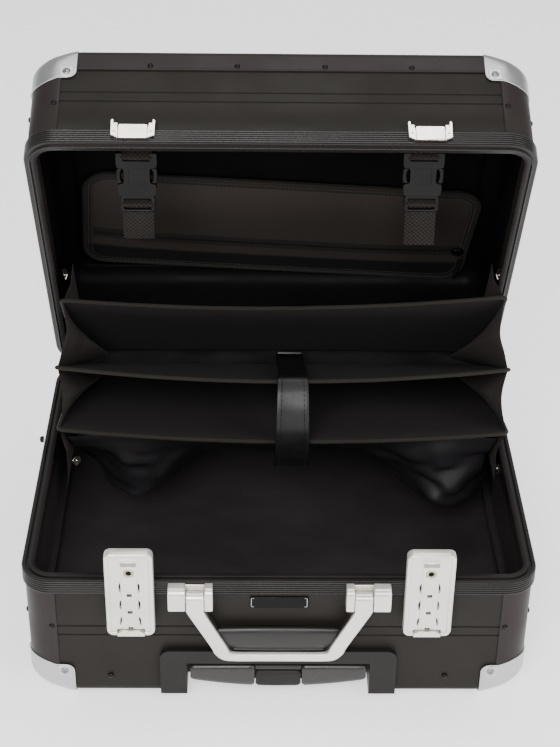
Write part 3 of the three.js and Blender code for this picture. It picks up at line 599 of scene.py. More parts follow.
def outline(width, depth, radius, corner_steps=14, wall_step=24):
    """Steps anticlockwise round a rounded rectangle, each corner with half a wall on both sides."""
    half = {0: width / 2 - radius, 1: depth / 2 - radius}
    places = []
    for k, (sx, sy) in enumerate(((1, 1), (-1, 1), (-1, -1), (1, -1))):
        centre = Vector((sx * half[0], sy * half[1]))
        start = math.pi / 2 * k

        def wall(length, angle, toward_middle, keep_middle):
            near = [POST_GAP, 7, 11.5, CAP_GAP, 20]
            steps = max(1, round((length - near[-1]) / wall_step))
            far = [near[-1] + (length - near[-1]) * i / steps for i in range(1, steps + 1)]
            stops = near + (far if keep_middle else far[:-1])
            origin = centre + radius * Vector((math.cos(angle), math.sin(angle)))
            for gap in stops:
                fade = max(0.0, 1 - gap / BALL_FADE)
                spot = origin + toward_middle * gap
                yield Place(spot.x, spot.y, angle, k, gap, ARC_END_SHARE * fade ** 1.5)

        along = Vector((math.sin(start), -math.cos(start)))
        before = list(wall(half[1 - k % 2], start, along, False))
        places.extend(reversed(before))
        for step in range(corner_steps + 1):
            turn = math.pi / 2 * step / corner_steps
            spot = centre + radius * Vector((math.cos(start + turn), math.sin(start + turn)))
            share = ARC_END_SHARE + (1 - ARC_END_SHARE) * math.sin(2 * turn)
            places.append(Place(spot.x, spot.y, start + turn, k, 0, share))
        end = start + math.pi / 2
        along = Vector((math.sin(end - math.pi), -math.cos(end - math.pi)))
        places.extend(wall(half[k % 2], end, along, True))
    return places


CASE = outline(PANEL_WIDTH, PANEL_DEPTH, PANEL_RADIUS)
RIM = outline(RIM_WIDTH, RIM_DEPTH, PANEL_RADIUS + (RIM_WIDTH - PANEL_WIDTH) / 2)


def wall_rows(places, depth, steps):
    """Rows down a tray's wall from (height above its bottom, outward distance) steps."""
    return [[p.at(out, max(height, p.ball()) - depth) for p in places] for height, out in steps]


def edge_rows(places, depth, proud, steps=8):
    """Rows round a tray's lower edge: a quarter round that grows to a ball at the corners."""
    rows = []
    for step in range(steps + 1):
        angle = math.pi / 2 * step / steps
        row = []
        for p in places:
            reach = p.ball() + proud
            height = p.ball() - depth - reach * math.sin(angle)
            row.append(p.at(proud - reach * (1 - math.cos(angle)), height))
        rows.append(row)
    return rows


def corner_run(places, corner, gap):
    return [p for p in places if p.corner == corner and p.gap <= gap + 0.01]


GROOVES = {"base": (80, 69.8), "lid": (62, 51.2)}


def panel_shell(half, depth, tray):
    """Painted panel: upright walls with two pressed grooves, a rounded edge and a flat end."""
    steps = [(depth - 4.8, 0)]
    groove_depth = 1.0
    for groove in GROOVES[half]:
        steps += [(groove + 1.1, 0), (groove + 0.5, -groove_depth),
                  (groove - 0.5, -groove_depth), (groove - 1.1, 0)]
    steps.append((EDGE_FRAME, 0))
    rows = wall_rows(CASE, depth, steps) + edge_rows(CASE, depth, 0)
    shape = Shape().grid(rows, wrap_columns=True)
    count = len(rows[-1])
    shape.face([len(shape.points) - 1 - i for i in range(count)])
    return thicken(weld(build(f"{half}_panels", shape, tray, closed=False)), 1.6)


def edge_profile(half, depth, tray):
    """Profile round the end's edge with a bead along its lip, and a post up each corner."""
    lip = [(EDGE_FRAME + 0.3, 0.1), (EDGE_FRAME + 0.2, 1.5), (EDGE_FRAME - 0.5, 1.9),
           (EDGE_FRAME - 1.3, 1.7), (EDGE_FRAME - 1.8, EDGE_PROUD)]
    rows = wall_rows(CASE, depth, lip) + edge_rows(CASE, depth, EDGE_PROUD)
    under = [p.at(-21.56 - 0.02 * p.ball(), -depth - EDGE_PROUD) for p in CASE]
    shape = Shape().grid(rows + [under], wrap_columns=True)
    top = depth - RIM_BAND - 0.4
    for corner in range(4):
        run = corner_run(CASE, corner, POST_GAP)
        post = [[p.at(EDGE_PROUD, height - depth) for p in run]
                for height in (top, top * 0.5, EDGE_FRAME + 1, EDGE_FRAME - 1)]
        shape.grid(post)
    piece = thicken(weld(build(f"{half}_profiles", shape, tray, closed=False)), 1.0)
    return bevel(piece, 0.25, 1, 60)


def cap_top(place):
    """Height of a silver cap's upper edge: high round the ball, lower on the walls, rounded off."""
    if place.gap == 0:
        return CAP_HEIGHT - CAP_DROP * (1 - place.share) / (1 - ARC_END_SHARE)
    low = CAP_HEIGHT - CAP_DROP
    beyond = max(0.0, (place.gap - 8) / (CAP_GAP - 8))
    return low - 8 * (1 - math.sqrt(max(0.0, 1 - beyond ** 2)))


def cap(half, name, corner, depth, tray):
    """Cast corner: wall, ball and underside."""
    run = corner_run(CAP_CASE, corner, CAP_GAP)
    rows = []
    for step in range(4):
        share = step / 4
        rows.append([p.at(CAP_PROUD, cap_top(p) + (p.ball() - cap_top(p)) * share - depth)
                     for p in run])
    rows += edge_rows(run, depth, CAP_PROUD, 12)
    under = [p.at(-CAP_REACH, -depth - CAP_PROUD) for p in run]
    shape = Shape().grid(rows + [under])
    piece = thicken(build(f"{half}_corner_cap_{name}", shape, tray, closed=False), 1.1)
    bevel(piece, 0.45, 2, 50)
    return dress(piece, CORNER, half, "corner", f"{half}_corner_{name}")


def fine_gaps():
    """The outline again with close steps across the caps, for their rounded upper edges."""
    places = []
    for place in outline(PANEL_WIDTH, PANEL_DEPTH, PANEL_RADIUS, 18):
        places.append(place)
        if 11 < place.gap < CAP_GAP:
            for gap in (13.2, 14.6, 15.5):
                shift = gap - place.gap
                side = place.x * place.ny * place.ny + place.y * place.nx * place.nx
                toward_middle = -shift if side > 0 else shift
                spot = (place.x + toward_middle * abs(place.ny), place.y + toward_middle * abs(place.nx))
                share = ARC_END_SHARE * max(0.0, 1 - gap / BALL_FADE) ** 1.5
                angle = math.atan2(place.ny, place.nx)
                places.append(Place(*spot, angle, place.corner, gap, share))
    ordered = []
    for corner in range(4):
        run = [p for p in places if p.corner == corner]
        arc = [p for p in run if p.gap == 0]
        first = arc[0]
        before = [p for p in run if p.gap and abs(p.nx - first.nx) + abs(p.ny - first.ny) < 0.1]
        after = [p for p in run if p.gap and p not in before]
        ordered += sorted(before, key=lambda p: -p.gap) + arc + sorted(after, key=lambda p: p.gap)
    return ordered


CAP_CASE = fine_gaps()
CORNER_NAMES = ("back_right", "back_left", "front_left", "front_right")


def corner_fittings(half, depth, tray):
    """Silver caps, with the pads and cross-head screws on their walls."""
    for corner, name in enumerate(CORNER_NAMES):
        cap(half, name, corner, depth, tray)
    pads = Shape()
    screws = []
    from_end, pad_size, pad_proud = 32, 12, 0.6
    z = 28.5 - depth
    for sx in (-1, 1):
        for sy in (-1, 1):
            x = sx * (PANEL_WIDTH / 2 - from_end)
            y = sy * (PANEL_DEPTH / 2 + CAP_PROUD)
            square = rounded(pad_size, pad_size, 1.0, 3, (x, z))
            pads.merge(plate(square, *sorted((y - sy, y + sy * pad_proud)), "y"))
            screws.append(((x, y + sy * pad_proud, z), (0, sy, 0)))
            x = sx * (PANEL_WIDTH / 2 + CAP_PROUD)
            y = sy * (PANEL_DEPTH / 2 - from_end)
            square = rounded(pad_size, pad_size, 1.0, 3, (y, z))
            pads.merge(plate(square, *sorted((x - sx, x + sx * pad_proud)), "x"))
            screws.append(((x + sx * pad_proud, y, z), (sx, 0, 0)))
    dress(bevel(build(f"{half}_cap_pads", pads, tray), 0.3, 2), CORNER_PAD, half, "corner")
    heads = scatter(cross_screw(3.7, 1.5), screws)
    dress(build(f"{half}_cap_screws", heads, tray), STEEL, half, "keeper")


def panel_rivets(half, depth, tray):
    """Black rivets along the edge profile and on the posts."""
    front = PANEL_DEPTH / 2 + EDGE_PROUD
    side = PANEL_WIDTH / 2 + EDGE_PROUD
    if half == "base":
        spots, edge, post = (-153, 153), 21.5, 80.6
    else:
        spots, edge, post = (-119, -40, 40, 119), 20, depth - 48
    places = []
    for sy in (-1, 1):
        places += [((x, sy * front, edge - depth), (0, sy, 0)) for x in spots]
        places += [((sx * 203.5, sy * front, post - depth), (0, sy, 0)) for sx in (-1, 1)]
    for sx in (-1, 1):
        places += [((sx * side, y, edge - depth), (sx, 0, 0)) for y in (-70, 70)]
        places += [((sx * side, sy * 151, post - depth), (sx, 0, 0)) for sy in (-1, 1)]
    rivets = build(f"{half}_rivets", scatter(rivet(2.6, 1.5), places), tray)
    dress(rivets, DARK_METAL, half, "profile")


RIB_COUNT = 6


def rim_profile(groove):
    """Section of a rim as (outward, height) points, with a groove or a tongue for the seal."""
    pitch = (RIM_BAND - 1.4) / RIB_COUNT
    section = [(-12, -RIM_BAND), (-9.8, -RIM_BAND), (-9.8, -4.5),
               (-3.2, -4.5), (-3.2, -RIM_BAND), (-0.9, -RIM_BAND)]
    for rib in range(RIB_COUNT):
        low = -RIM_BAND + 0.3 + rib * pitch
        section += [(-0.9, low), (-0.25, low + 0.25), (0, low + 0.7), (0, low + pitch - 1.0),
                    (-0.25, low + pitch - 0.55), (-0.9, low + pitch - 0.35)]
    section += [(-0.5, -0.9), (-0.6, -0.5), (-1.1, -0.2)]
    if groove:
        section += [(-3.5, -0.2), (-4, -0.5), (-4.2, -2.6), (-6.4, -2.6), (-6.6, -0.5), (-7.1, -0.2)]
    else:
        section += [(-4.3, -0.2), (-4.5, 1.7), (-5, 1.95), (-5.6, 1.95), (-6.1, 1.7), (-6.3, -0.2)]
    return section + [(-11.2, -0.2), (-11.8, -0.5), (-12, -1.2)]


def rim(half, tray, groove):
    rows = [[p.at(out, z) for p in RIM] for out, z in rim_profile(groove)]
    shape = Shape().grid(rows, wrap_rows=True, wrap_columns=True)
    return dress(build(f"{half}_ribbed_rim", shape, tray, 28), RIBBED, half, "profile", f"{half}_rim")


# ---- case halves -------------------------------------------------------------------------------
def cutters():
    """Room in the base's panels for the trolley's pocket and the wheels' wells."""
    grip_high = span("trolley_grip")[1]
    half = grip_high.x + 5.2
    below, play = -20, 0.3
    pocket = box((-half, -200, below), (half, -145.8, grip_high.z + 6.2))
    made = [build("cutter_pocket", pocket)]
    for side, _ in SIDES:
        low, high = span(f"wheel_housing_{side}")
        well = box((low.x - play, low.y - play, below), (high.x + play, 220, high.z + play))
        made.append(build(f"cutter_{side}", well))
    return made


base_panels = carve(panel_shell("base", PARTING, BASE_TRAY), *cutters())
dress(base_panels, PANEL, "base", "panel", "base_shell")
base_profiles = carve(edge_profile("base", PARTING, BASE_TRAY), *cutters())
dress(base_profiles, PROFILE, "base", "profile", "base_edge_frame")
dress(panel_shell("lid", LID_TOP, LID_TRAY), PANEL, "lid", "panel", "lid_shell")
dress(edge_profile("lid", LID_TOP, LID_TRAY), PROFILE, "lid", "profile", "lid_edge_frame")
for half_name, half_depth, half_tray in (("base", PARTING, BASE_TRAY), ("lid", LID_TOP, LID_TRAY)):
    corner_fittings(half_name, half_depth, half_tray)
    panel_rivets(half_name, half_depth, half_tray)
    rim(half_name, half_tray, half_name == "base")


# ---- linings -----------------------------------------------------------------------------------
def crease(piece, size, depth, seed=0.0, inward=True):
    """Pushes a cloth surface in and out along its normals in soft folds."""
    for vertex in piece.data.vertices:
        fold = max(-1.0, min(1.0, wrinkle(vertex.co / MM, size, seed)))
        push = -depth * (0.5 + 0.5 * fold) if inward else depth * fold
        vertex.co += vertex.normal * push * MM
    piece.data.update()
    return piece


def quilt(width, length, radius, level, spacing=7):
    """Flat cloth with rounded corners on an even grid, facing up."""
    rows = []
    count = int(length / spacing)
    across = int(width / spacing)
    for k in range(count + 1):
        y = length * (k / count - 0.5)
        past = max(0.0, abs(y) - (length / 2 - radius)) / radius
        half = width / 2 - radius * (1 - math.sqrt(max(0.0, 1 - past ** 2)))
        rows.append([(half * (1 - 2 * i / across), y, level) for i in range(across + 1)])
    return Shape().grid(rows)


def lining(half, depth, tray, floor_height, share, folds):
    """Cloth-covered tray inside a half: walls with a rounded edge, and the floor."""
    is_base = half == "base"
    gap = 2.4
    places = outline(PANEL_WIDTH - 2 * gap, PANEL_DEPTH - 2 * gap, PANEL_RADIUS - gap, 10, 12)
    for place in places:
        place.share = share(place)
    inside = depth - floor_height
    steps = [(inside - 4.9 - 12 * i, 0) for i in range(int((inside - 26) / 12))]
    rows = wall_rows(places, inside, steps) + edge_rows(places, inside, 0, 6)
    piece = build(f"{half}_lining_walls", Shape().grid(rows, wrap_columns=True), tray, 50, closed=False)
    crease(piece, 70, folds, 3.0 if is_base else 8.0)
    thicken(piece, 1.2)
    # The lid's lining takes the darker copy of the satin: painted shade inside the lid.
    satin = LINING if is_base else LINING_PAINTED_SHADE
    dress(piece, satin, half, "lining", f"{half}_lining")
    brim = rows[-1]
    width = 2 * max(point.x for point in brim) + 3
    length = 2 * max(point.y for point in brim) + 3
    quilted = quilt(width, length, 22, brim[0].z)
    floor = build(f"{half}_lining_floor", quilted, tray, 50, closed=False)
    crease(floor, 46, folds if is_base else -folds, 1.0 if is_base else 5.0)
    thicken(floor, 0.8)
    return dress(floor, satin, half, "lining")


base_floor = span("base_lining")[0].z + 0.4
lid_floor = LID_TOP - span("lid_lining", LID)[1].z + 0.3
lining("base", PARTING, BASE_TRAY, base_floor, lambda place: 0.7 * place.share, 2.6)
lining("lid", LID_TOP, LID_TRAY, lid_floor, lambda place: 0.7, 1.8)


# ---- wheels ------------------------------------------------------------------------------------
def wheel_piece(side):
    """Rubber tyre with two tread grooves on a moulded hub with spokes."""
    low, high = span(f"wheel_{side}")
    centre = (low + high) / 2
    half = (high.x - low.x) / 2
    radius = (high.z - low.z) / 2
    tyre = [(radius - 6, -half + 1), (radius - 3, -half), (radius - 0.8, -half + 1.6),
            (radius, -half + 4)]
    for groove in (-2.6, 2.6):
        tyre += [(radius, groove - 1), (radius - 1.2, groove - 0.7),
                 (radius - 1.2, groove + 0.7), (radius, groove + 1)]
    tyre += [(radius, half - 4), (radius - 0.8, half - 1.6), (radius - 3, half),
             (radius - 6, half - 1)]
    rows = [[(x, y, z) for x, y in circle(r, 48)] for r, z in tyre]
    shape = Shape().grid(rows, wrap_rows=True, wrap_columns=True)
    axis = BASE @ Matrix.Translation(centre) @ Matrix.Rotation(math.pi / 2, 4, "Y")
    dress(build(f"wheel_tyre_{side}", shape, axis), TREAD, f"wheel_{side}", "rubber", f"wheel_{side}")
    hub = lathe([(3.2, -half + 2), (5.5, -half + 1), (6.5, -half + 3), (radius - 6.3, -half + 3.4),
                 (radius - 6.1, half - 3.4), (6.5, half - 3), (5.5, half - 1), (3.2, half - 2)], 40)
    spokes = 5
    spoke = box((5, -1.3, -half + 1.6), (radius - 6.4, 1.3, half - 1.6))
    for k in range(spokes):
        hub.merge(spoke, Matrix.Rotation(2 * math.pi * k / spokes, 4, "Z"))
    dress(bevel(build(f"wheel_hub_{side}", hub, axis), 0.3, 1), MOULDED, f"wheel_{side}", "plastic")


for side_name, _ in SIDES:
    wheel_piece(side_name)


# ---- latches -----------------------------------------------------------------------------------
def dial_heights(side):
    boxes = [span(f"dial_{side}_{i}") for i in (1, 2, 3)]
    return [(low.z + high.z) / 2 for low, high in boxes]


def latch(side):
    """Cast cover with a raised rim and a half-round column over the three dials."""
    low, high = span(f"latch_body_{side}")
    x = (low.x + high.x) / 2
    width = high.x - low.x
    height = high.z - low.z
    centre = (x, (low.z + high.z) / 2)
    front, back = low.y, low.y + 9

    def hole(outline_points, near, far):
        return build("hole", plate(outline_points, front + near, front + far, "y"))

    def window(z):
        return hole(rounded(4.5, 3.5, 0.5, 2, (x, z - 7.2)), -3, 3)

    cover = plate(rounded(width - 0.8, height - 0.8, 5.6, 8, centre), front + 1.4, back - 0.3, "y")
    cover = build(f"latch_cover_{side}", cover)
    holes = []
    for z in dial_heights(side):
        holes.append(hole([(x + u, z + w) for u, w in circle(9.2, 24)], 2.0, 12))
        for sign in (-1, 1):
            arc = [(x + sign * 9.8 * math.cos(t), z + 9.4 * math.sin(t))
                   for t in (-0.62, -0.3, 0, 0.3, 0.62)]
            inner = [(x + sign * 7.4, z + 5.4), (x + sign * 7.4, z - 5.4)]
            holes.append(hole(arc + inner, -2, 3))
        holes.append(window(z))
    tab_low, tab_high = span(f"latch_tab_{side}")
    notch = box((tab_low.x - 0.4, front - 2, low.z - 2),
                (tab_high.x + 0.4, front + 4.2, tab_high.z + 0.9))
    holes.append(build("hole", notch))
    bolt_low, bolt_high = span(f"latch_bolt_{side}")
    bolt_room = box((bolt_low.x - 0.3, bolt_low.y - 3.65, bolt_low.z - 0.3),
                    (bolt_high.x + 0.3, back + 2, bolt_high.z + 0.3))
    holes.append(build("hole", bolt_room))
    key_low, key_high = span(f"key_cylinder_{side}")
    key_z = (key_low.z + key_high.z) / 2
    key_hole = rounded(9.2, 9.2, 4.59, 6, (x, key_z))
    holes.append(hole(key_hole, -3, 7))
    lip = [(0, 9), (0, 1.4), (0.5, 0.5), (1.5, 0), (2.9, 0), (3.7, 0.35), (4.1, 0.95), (4.1, 3)]
    rows = []
    for inset, depth in lip:
        edge = rounded(width - 2 * inset, height - 2 * inset, max(6 - inset, 1.6), 8, centre)
        rows.append([(u, front + depth, w) for u, w in edge])
    lip_shape = Shape().grid(rows, wrap_rows=True, wrap_columns=True)
    lip_piece = carve(build(f"latch_lip_{side}", lip_shape), build("hole", notch))
    dress(lip_piece, LATCH, "base", "latch")
    stations = [(low.z + 10.5, 9.2), (low.z + 13, 8.4), (low.z + 17, 7.6), (high.z - 20, 7.6),
                (high.z - 15, 8.3), (high.z - 8, 8.6), (high.z - 6.6, 8.0)]
    turns = [math.pi * t / 14 for t in range(15)]
    rows = []
    for z, half in stations:
        arch = [(x + half * math.cos(t), front + 2.1 - 2.3 * math.sin(t) ** 0.5, z) for t in turns]
        rows.append(arch + [(x - half * 0.9, front + 3, z), (x + half * 0.9, front + 3, z)])
    column = build(f"latch_column_{side}", Shape().grid(rows, wrap_columns=True, caps=True))
    slot_z = key_z + 9.3
    slot_room = hole(rounded(12.5, 3.6, 1, 3, (x, slot_z)), -3, 1.2)
    windows = [window(z) for z in dial_heights(side)]
    carve(column, *windows, hole(key_hole, -3, 7), slot_room, build("hole", bolt_room))
    dress(bevel(column, 0.25, 1, 50), LATCH, "base", "latch")
    slot = plate(rounded(14, 4.6, 1.4, 4, (x, slot_z)), front - 0.15, front + 1.3, "y")
    dress(bevel(build(f"latch_slot_{side}", slot), 0.3, 2), STEEL, "base", "steel")
    seat = box((x - width / 2 + 2, back - 0.5, low.z + 2),
               (x + width / 2 - 2, PANEL_FRONT - 0.3, PARTING - RIM_BAND - 0.8))
    dress(bevel(build(f"latch_seat_{side}", seat), 0.5), LATCH, "base", "latch")
    dress(bevel(carve(cover, *holes), 0.35, 2, 45), LATCH, "base", "latch", f"latch_body_{side}")


SEGMENTS = {"a": (0, 1, 1), "b": (1, 0.5, 0), "c": (1, -0.5, 0), "d": (0, -1, 1), "e": (-1, -0.5, 0),
            "f": (-1, 0.5, 0), "g": (0, 0, 1)}
DIGITS = ("abcdef", "bc", "abged", "abgcd", "fgbc", "afgcd", "afgedc", "abc", "abcdefg", "abcdfg")


def digit(number, size):
    """A plain numeral of straight strokes, standing in X and Z."""
    shape = Shape()
    for segment in DIGITS[number]:
        across, up, level = SEGMENTS[segment]
        x, z = across * size * 0.28, up * size * 0.5
        long, thin = size * 0.27, size * 0.07
        half = (long, thin) if level else (thin, long)
        shape.merge(box((x - half[0], -0.08, z - half[1]), (x + half[0], 0.08, z + half[1])))
    return shape


def dial_piece(side, index):
    """Dial with a milled edge and the numbers 0 to 9 round its face."""
    low, high = span(f"dial_{side}_{index}")
    centre = Vector(((low.x + high.x) / 2, low.y, (low.z + high.z) / 2))
    steps = 120
    rows = []
    for depth, inset, mill in ((0.3, 0.5, 0), (0.5, 0, 0.35), (3.6, 0, 0.35), (4.0, 0.5, 0)):
        row = []
        for s in range(steps):
            radius = high.x - centre.x - inset - (mill if s % 4 < 2 else 0)
            turn = 2 * math.pi * s / steps
            row.append((radius * math.cos(turn), depth, radius * math.sin(turn)))
        rows.append(row)
    shape = Shape().grid(rows, wrap_columns=True, caps=True)
    place = BASE @ Matrix.Translation(centre)
    body = f"dial_{side}_{index}"
    dress(build(f"dial_wheel_{side}_{index}", shape, place, 25), GLOSS, body, "dial", body)
    numbers = Shape()
    for number in range(10):
        turn = Matrix.Rotation(2 * math.pi * number / 10, 4, "Y")
        numbers.merge(digit(number, 1.7), turn @ Matrix.Translation((0, 0.3, -7.2)))
    dress(build(f"dial_numbers_{side}_{index}", numbers, place), MARK, body, "dial")


def keeper_piece(side):
    """Plated keeper: a plain plate between two taller folded ears with a notched foot."""
    low, high = span(f"keeper_{side}", LID)
    x = (low.x + high.x) / 2
    front = low.y
    shape = Shape()
    shape.merge(plate(rounded(26, 15.5, 1.6, 4, (x, low.z + 8.2)), front + 0.2, front + 2.2, "y"))
    for sign in (-1, 1):
        ear = x + sign * 16.6
        folded = [(-3.8, low.z + 0.2), (2.9, low.z + 3.2), (3.2, high.z - 2.2), (2.2, high.z - 0.4),
                  (0.6, high.z - 0.6), (0.2, high.z - 6.6), (-3.4, high.z - 8.6), (-3.8, low.z + 9)]
        ear_points = [(ear + sign * u, w) for u, w in folded]
        shape.merge(plate(ear_points, front - 0.4, front + 2.4, "y"))
        foot = box((ear - 3, front + 1.5, RIM_BAND + 1.2), (ear + 3, PANEL_FRONT - 0.3, high.z - 3))
        shape.merge(foot)
        shape.merge(rivet(1.1, 0.5), toward((ear - sign * 0.6, front - 0.4, low.z + 7.2), (0, -1, 0)))
    piece = bevel(build(f"keeper_plate_{side}", shape, LID), 0.45, 2)
    dress(piece, NICKEL, "lid", "keeper", f"keeper_{side}")


def key_piece(side):
    """Round plug with a bright ring and a dark slotted core."""
    low, high = span(f"key_cylinder_{side}")
    place = BASE @ toward(((low.x + high.x) / 2, low.y + 0.2, (low.z + high.z) / 2), (0, -1, 0))
    ring = lathe([(2.5, -5), (2.5, -0.5), (2.9, 0.1), (3.8, 0.1), (4.2, -0.4), (4.2, -5)], 32)
    hole = build("hole", plate(rounded(5, 5, 2.49, 6), -9, 9), place)
    piece = carve(build(f"key_ring_{side}", ring, place), hole)
    dress(piece, BRASS, f"key_{side}", "brass", f"key_cylinder_{side}")
    core = build(f"key_core_{side}", plate(rounded(4.8, 4.8, 2.39, 6), -5, -0.9), place)
    slot = build("hole", plate(rounded(0.9, 3.8, 0.4, 2), -3.4, 3), place)
    dress(carve(core, slot), DARK_METAL, f"key_{side}", "brass")


for side_name, _ in SIDES:
    latch(side_name)
    key_piece(side_name)
    keeper_piece(side_name)
    for dial_index in (1, 2, 3):
        dial_piece(side_name, dial_index)


# ---- carry handle ------------------------------------------------------------------------------
def curve_through(points, steps=6):
    """Smooth points through a few plane points."""
    made = []
    last = len(points) - 1
    for i in range(last):
        p0, p1, p2, p3 = (Vector(points[max(0, min(last, i + k))]) for k in (-1, 0, 1, 2))
        for s in range(steps):
            t = s / steps
            made.append(0.5 * ((2 * p1) + (p2 - p0) * t + (2 * p0 - 5 * p1 + 4 * p2 - p3) * t * t
                               + (3 * p1 - p0 - 3 * p2 + p3) * t ** 3))
    made.append(Vector(points[last]))
    return made


HANDLE_ARM = 74.25


def across_at(x, pivot):
    """Frame on the handle's pivot line whose Z runs along X."""
    return Matrix.Translation((x, pivot.y, pivot.z)) @ Matrix.Rotation(math.pi / 2, 4, "Y")


def carry_handle():
    """Silver bow: two flat arms that slope in to a thin bar, crowned in front, over a black core."""
    low, high = span("handle_bow")
    pivot = Vector(JOINTS["handle_swing"]["pos_m"]) / MM
    knee = 110
    front = low.y
    half_outer = [(high.x, pivot.z), (high.x, knee + 3), (high.x - 1.5, knee - 3), (61.5, 71),
                  (57, 61), (50, 54.6), (40, low.z), (20, low.z), (0, low.z)]
    half_inner = [(high.x - 15.5, pivot.z), (high.x - 15.5, knee + 2), (high.x - 17, knee - 4),
                  (47.5, 71), (45, 65), (42, 62.2), (36, 61.3), (18, 61.3), (0, 61.3)]
    outer = curve_through(half_outer, 5)
    inner = curve_through(half_inner, 5)
    outer += [Vector((-p.x, p.y)) for p in reversed(outer[:-1])]
    inner += [Vector((-p.x, p.y)) for p in reversed(inner[:-1])]
    section = [(0, 0.9), (0.05, 0.3), (0.14, 0), (0.5, -0.25), (0.86, 0), (0.95, 0.3), (1, 0.9),
               (1, 4.2), (0.93, 4.6), (0.07, 4.6), (0, 4.2)]
    rows = []
    for o, i in zip(outer, inner):
        rows.append([(o.x + (i.x - o.x) * share, front + 0.25 + depth, o.y + (i.y - o.y) * share)
                     for share, depth in section])
    shape = Shape().grid(rows, wrap_columns=True, caps=True)
    boss = lathe([(0.6, 0), (5.4, 0), (6, 0.6), (6, 14.9), (5.4, 15.5), (0.6, 15.5)], 28)
    for sign in (-1, 1):
        shape.merge(boss, across_at(sign * HANDLE_ARM - 7.75, pivot))
    bow = bevel(build("handle_silver_bow", shape, sharp=40), 0.3, 1, 60)
    dress(bow, LATCH, "handle", "latch", "handle_bow")


def grip_roll():
    """Soft black roll behind the bow, thicker in the middle, on two slanted arms."""
    low, high = span("handle_grip")
    centre_y = (low.y + high.y) / 2
    depth = (high.y - low.y) / 2
    rows = []
    stations = 36
    for station in range(stations + 1):
        share = 2 * station / stations - 1
        end = max(0.0, (abs(share) - 0.82) / 0.18)
        swell = 1 - 0.10 * share ** 2 - 0.45 * end ** 2
        rows.append([(63 * share, centre_y + depth * swell * c * 0.98, 72.3 + 13.6 * swell * s)
                     for c, s in circle(1, 28)])
    shape = Shape().grid(rows, wrap_columns=True, caps=True)
    dress(build("handle_soft_roll", shape, sharp=60), ROLL, "handle", "rubber", "handle_grip")
    arms = Shape()
    for sign in (-1, 1):
        arm = [(sign * u, w) for u, w in ((40, 59.5), (56, 59.5), (61, 68), (74, 100), (74, 108),
                                          (64, 108), (61.5, 98), (50, 74))]
        arms.merge(plate(arm, low.y - 0.2, high.y - 2.2, "y"))
    dress(bevel(build("handle_core_arms", arms), 1.0, 3), SOFT_GRIP, "handle", "rubber")


def handle_bracket_piece(side, sign):
    """Cast bracket with a wide outer and a narrow inner lug, each rounded over the top."""
    low, high = span(f"handle_bracket_{side}")
    inner_x, outer_x = sorted((abs(low.x), abs(high.x)))
    front, back = low.y, -177.8
    shape = Shape()
    lug = [(back, low.z + 0.3), (front + 2.6, low.z + 0.3), (front + 0.8, low.z + 1.0),
           (front + 0.1, low.z + 2.8)]
    turns = [t * math.pi / 12 for t in range(7)]
    lug += [(front + 0.05 + 6 * (1 - math.cos(t)), high.z - 6.3 + 6.2 * math.sin(t)) for t in turns]
    lug += [(back, high.z - 0.1)]
    for a, b in ((inner_x, inner_x + 7.3), (outer_x - 15.3, outer_x)):
        shape.merge(plate(lug, *sorted((sign * a, sign * b)), "x"))
    left, right = low.x, high.x
    shape.merge(box((left + 1, -179.4, low.z + 1.2), (right - 1, back, high.z - 1.4)))
    shape.merge(box((left + 1.5, -178.2, low.z + 0.6),
                    (right - 1.5, PANEL_FRONT - 0.3, PARTING - RIM_BAND - 0.8)))
    piece = build(f"handle_lugs_{side}", shape)
    dress(bevel(piece, 0.9, 3, 50), LATCH, "base", "latch", f"handle_bracket_{side}")
    pin = lathe([(0.3, -9.2), (1.8, -9.2), (1.8, 9.2), (0.3, 9.2)], 16)
    pivot = Vector(JOINTS["handle_swing"]["pos_m"]) / MM
    place = BASE @ across_at(sign * HANDLE_ARM, pivot)
    dress(build(f"handle_pin_{side}", pin, place), STEEL, "base", "steel")


def nameplate_piece():
    """Blank plate with a thin bright bracket at each end."""
    low, high = span("nameplate")
    centre = ((low.x + high.x) / 2, (low.z + high.z) / 2)
    shape = plate(rounded(high.x - low.x, high.z - low.z, 1.2, 4, centre), low.y, high.y, "y")
    dress(bevel(build("nameplate_blank", shape), 0.3), GLOSS, "base", "plastic", "nameplate")
    ends = Shape()
    for sign in (-1, 1):
        edge = centre[0] + sign * (high.x - low.x) / 2 - sign * 0.8
        for z0, z1, reach in ((low.z + 1, high.z - 1, 0.7), (low.z + 1, low.z + 1.7, 2.6),
                              (high.z - 1.7, high.z - 1, 2.6)):
            inner = edge - sign * reach
            ends.merge(box((min(edge, inner), low.y - 0.15, z0), (max(edge, inner), low.y + 0.4, z1)))
    dress(build("nameplate_ends", ends), STEEL, "base", "steel")


carry_handle()
grip_roll()
nameplate_piece()
for side_name, side_sign in SIDES:
    handle_bracket_piece(side_name, side_sign)


# ---- trolley -----------------------------------------------------------------------------------
def grip_low_edge(x, grip_low, ends_low, half):
    """Height of the grip's lower edge, bowed down between its ends."""
    return grip_low + (ends_low - grip_low) * (abs(x) / half) ** 2


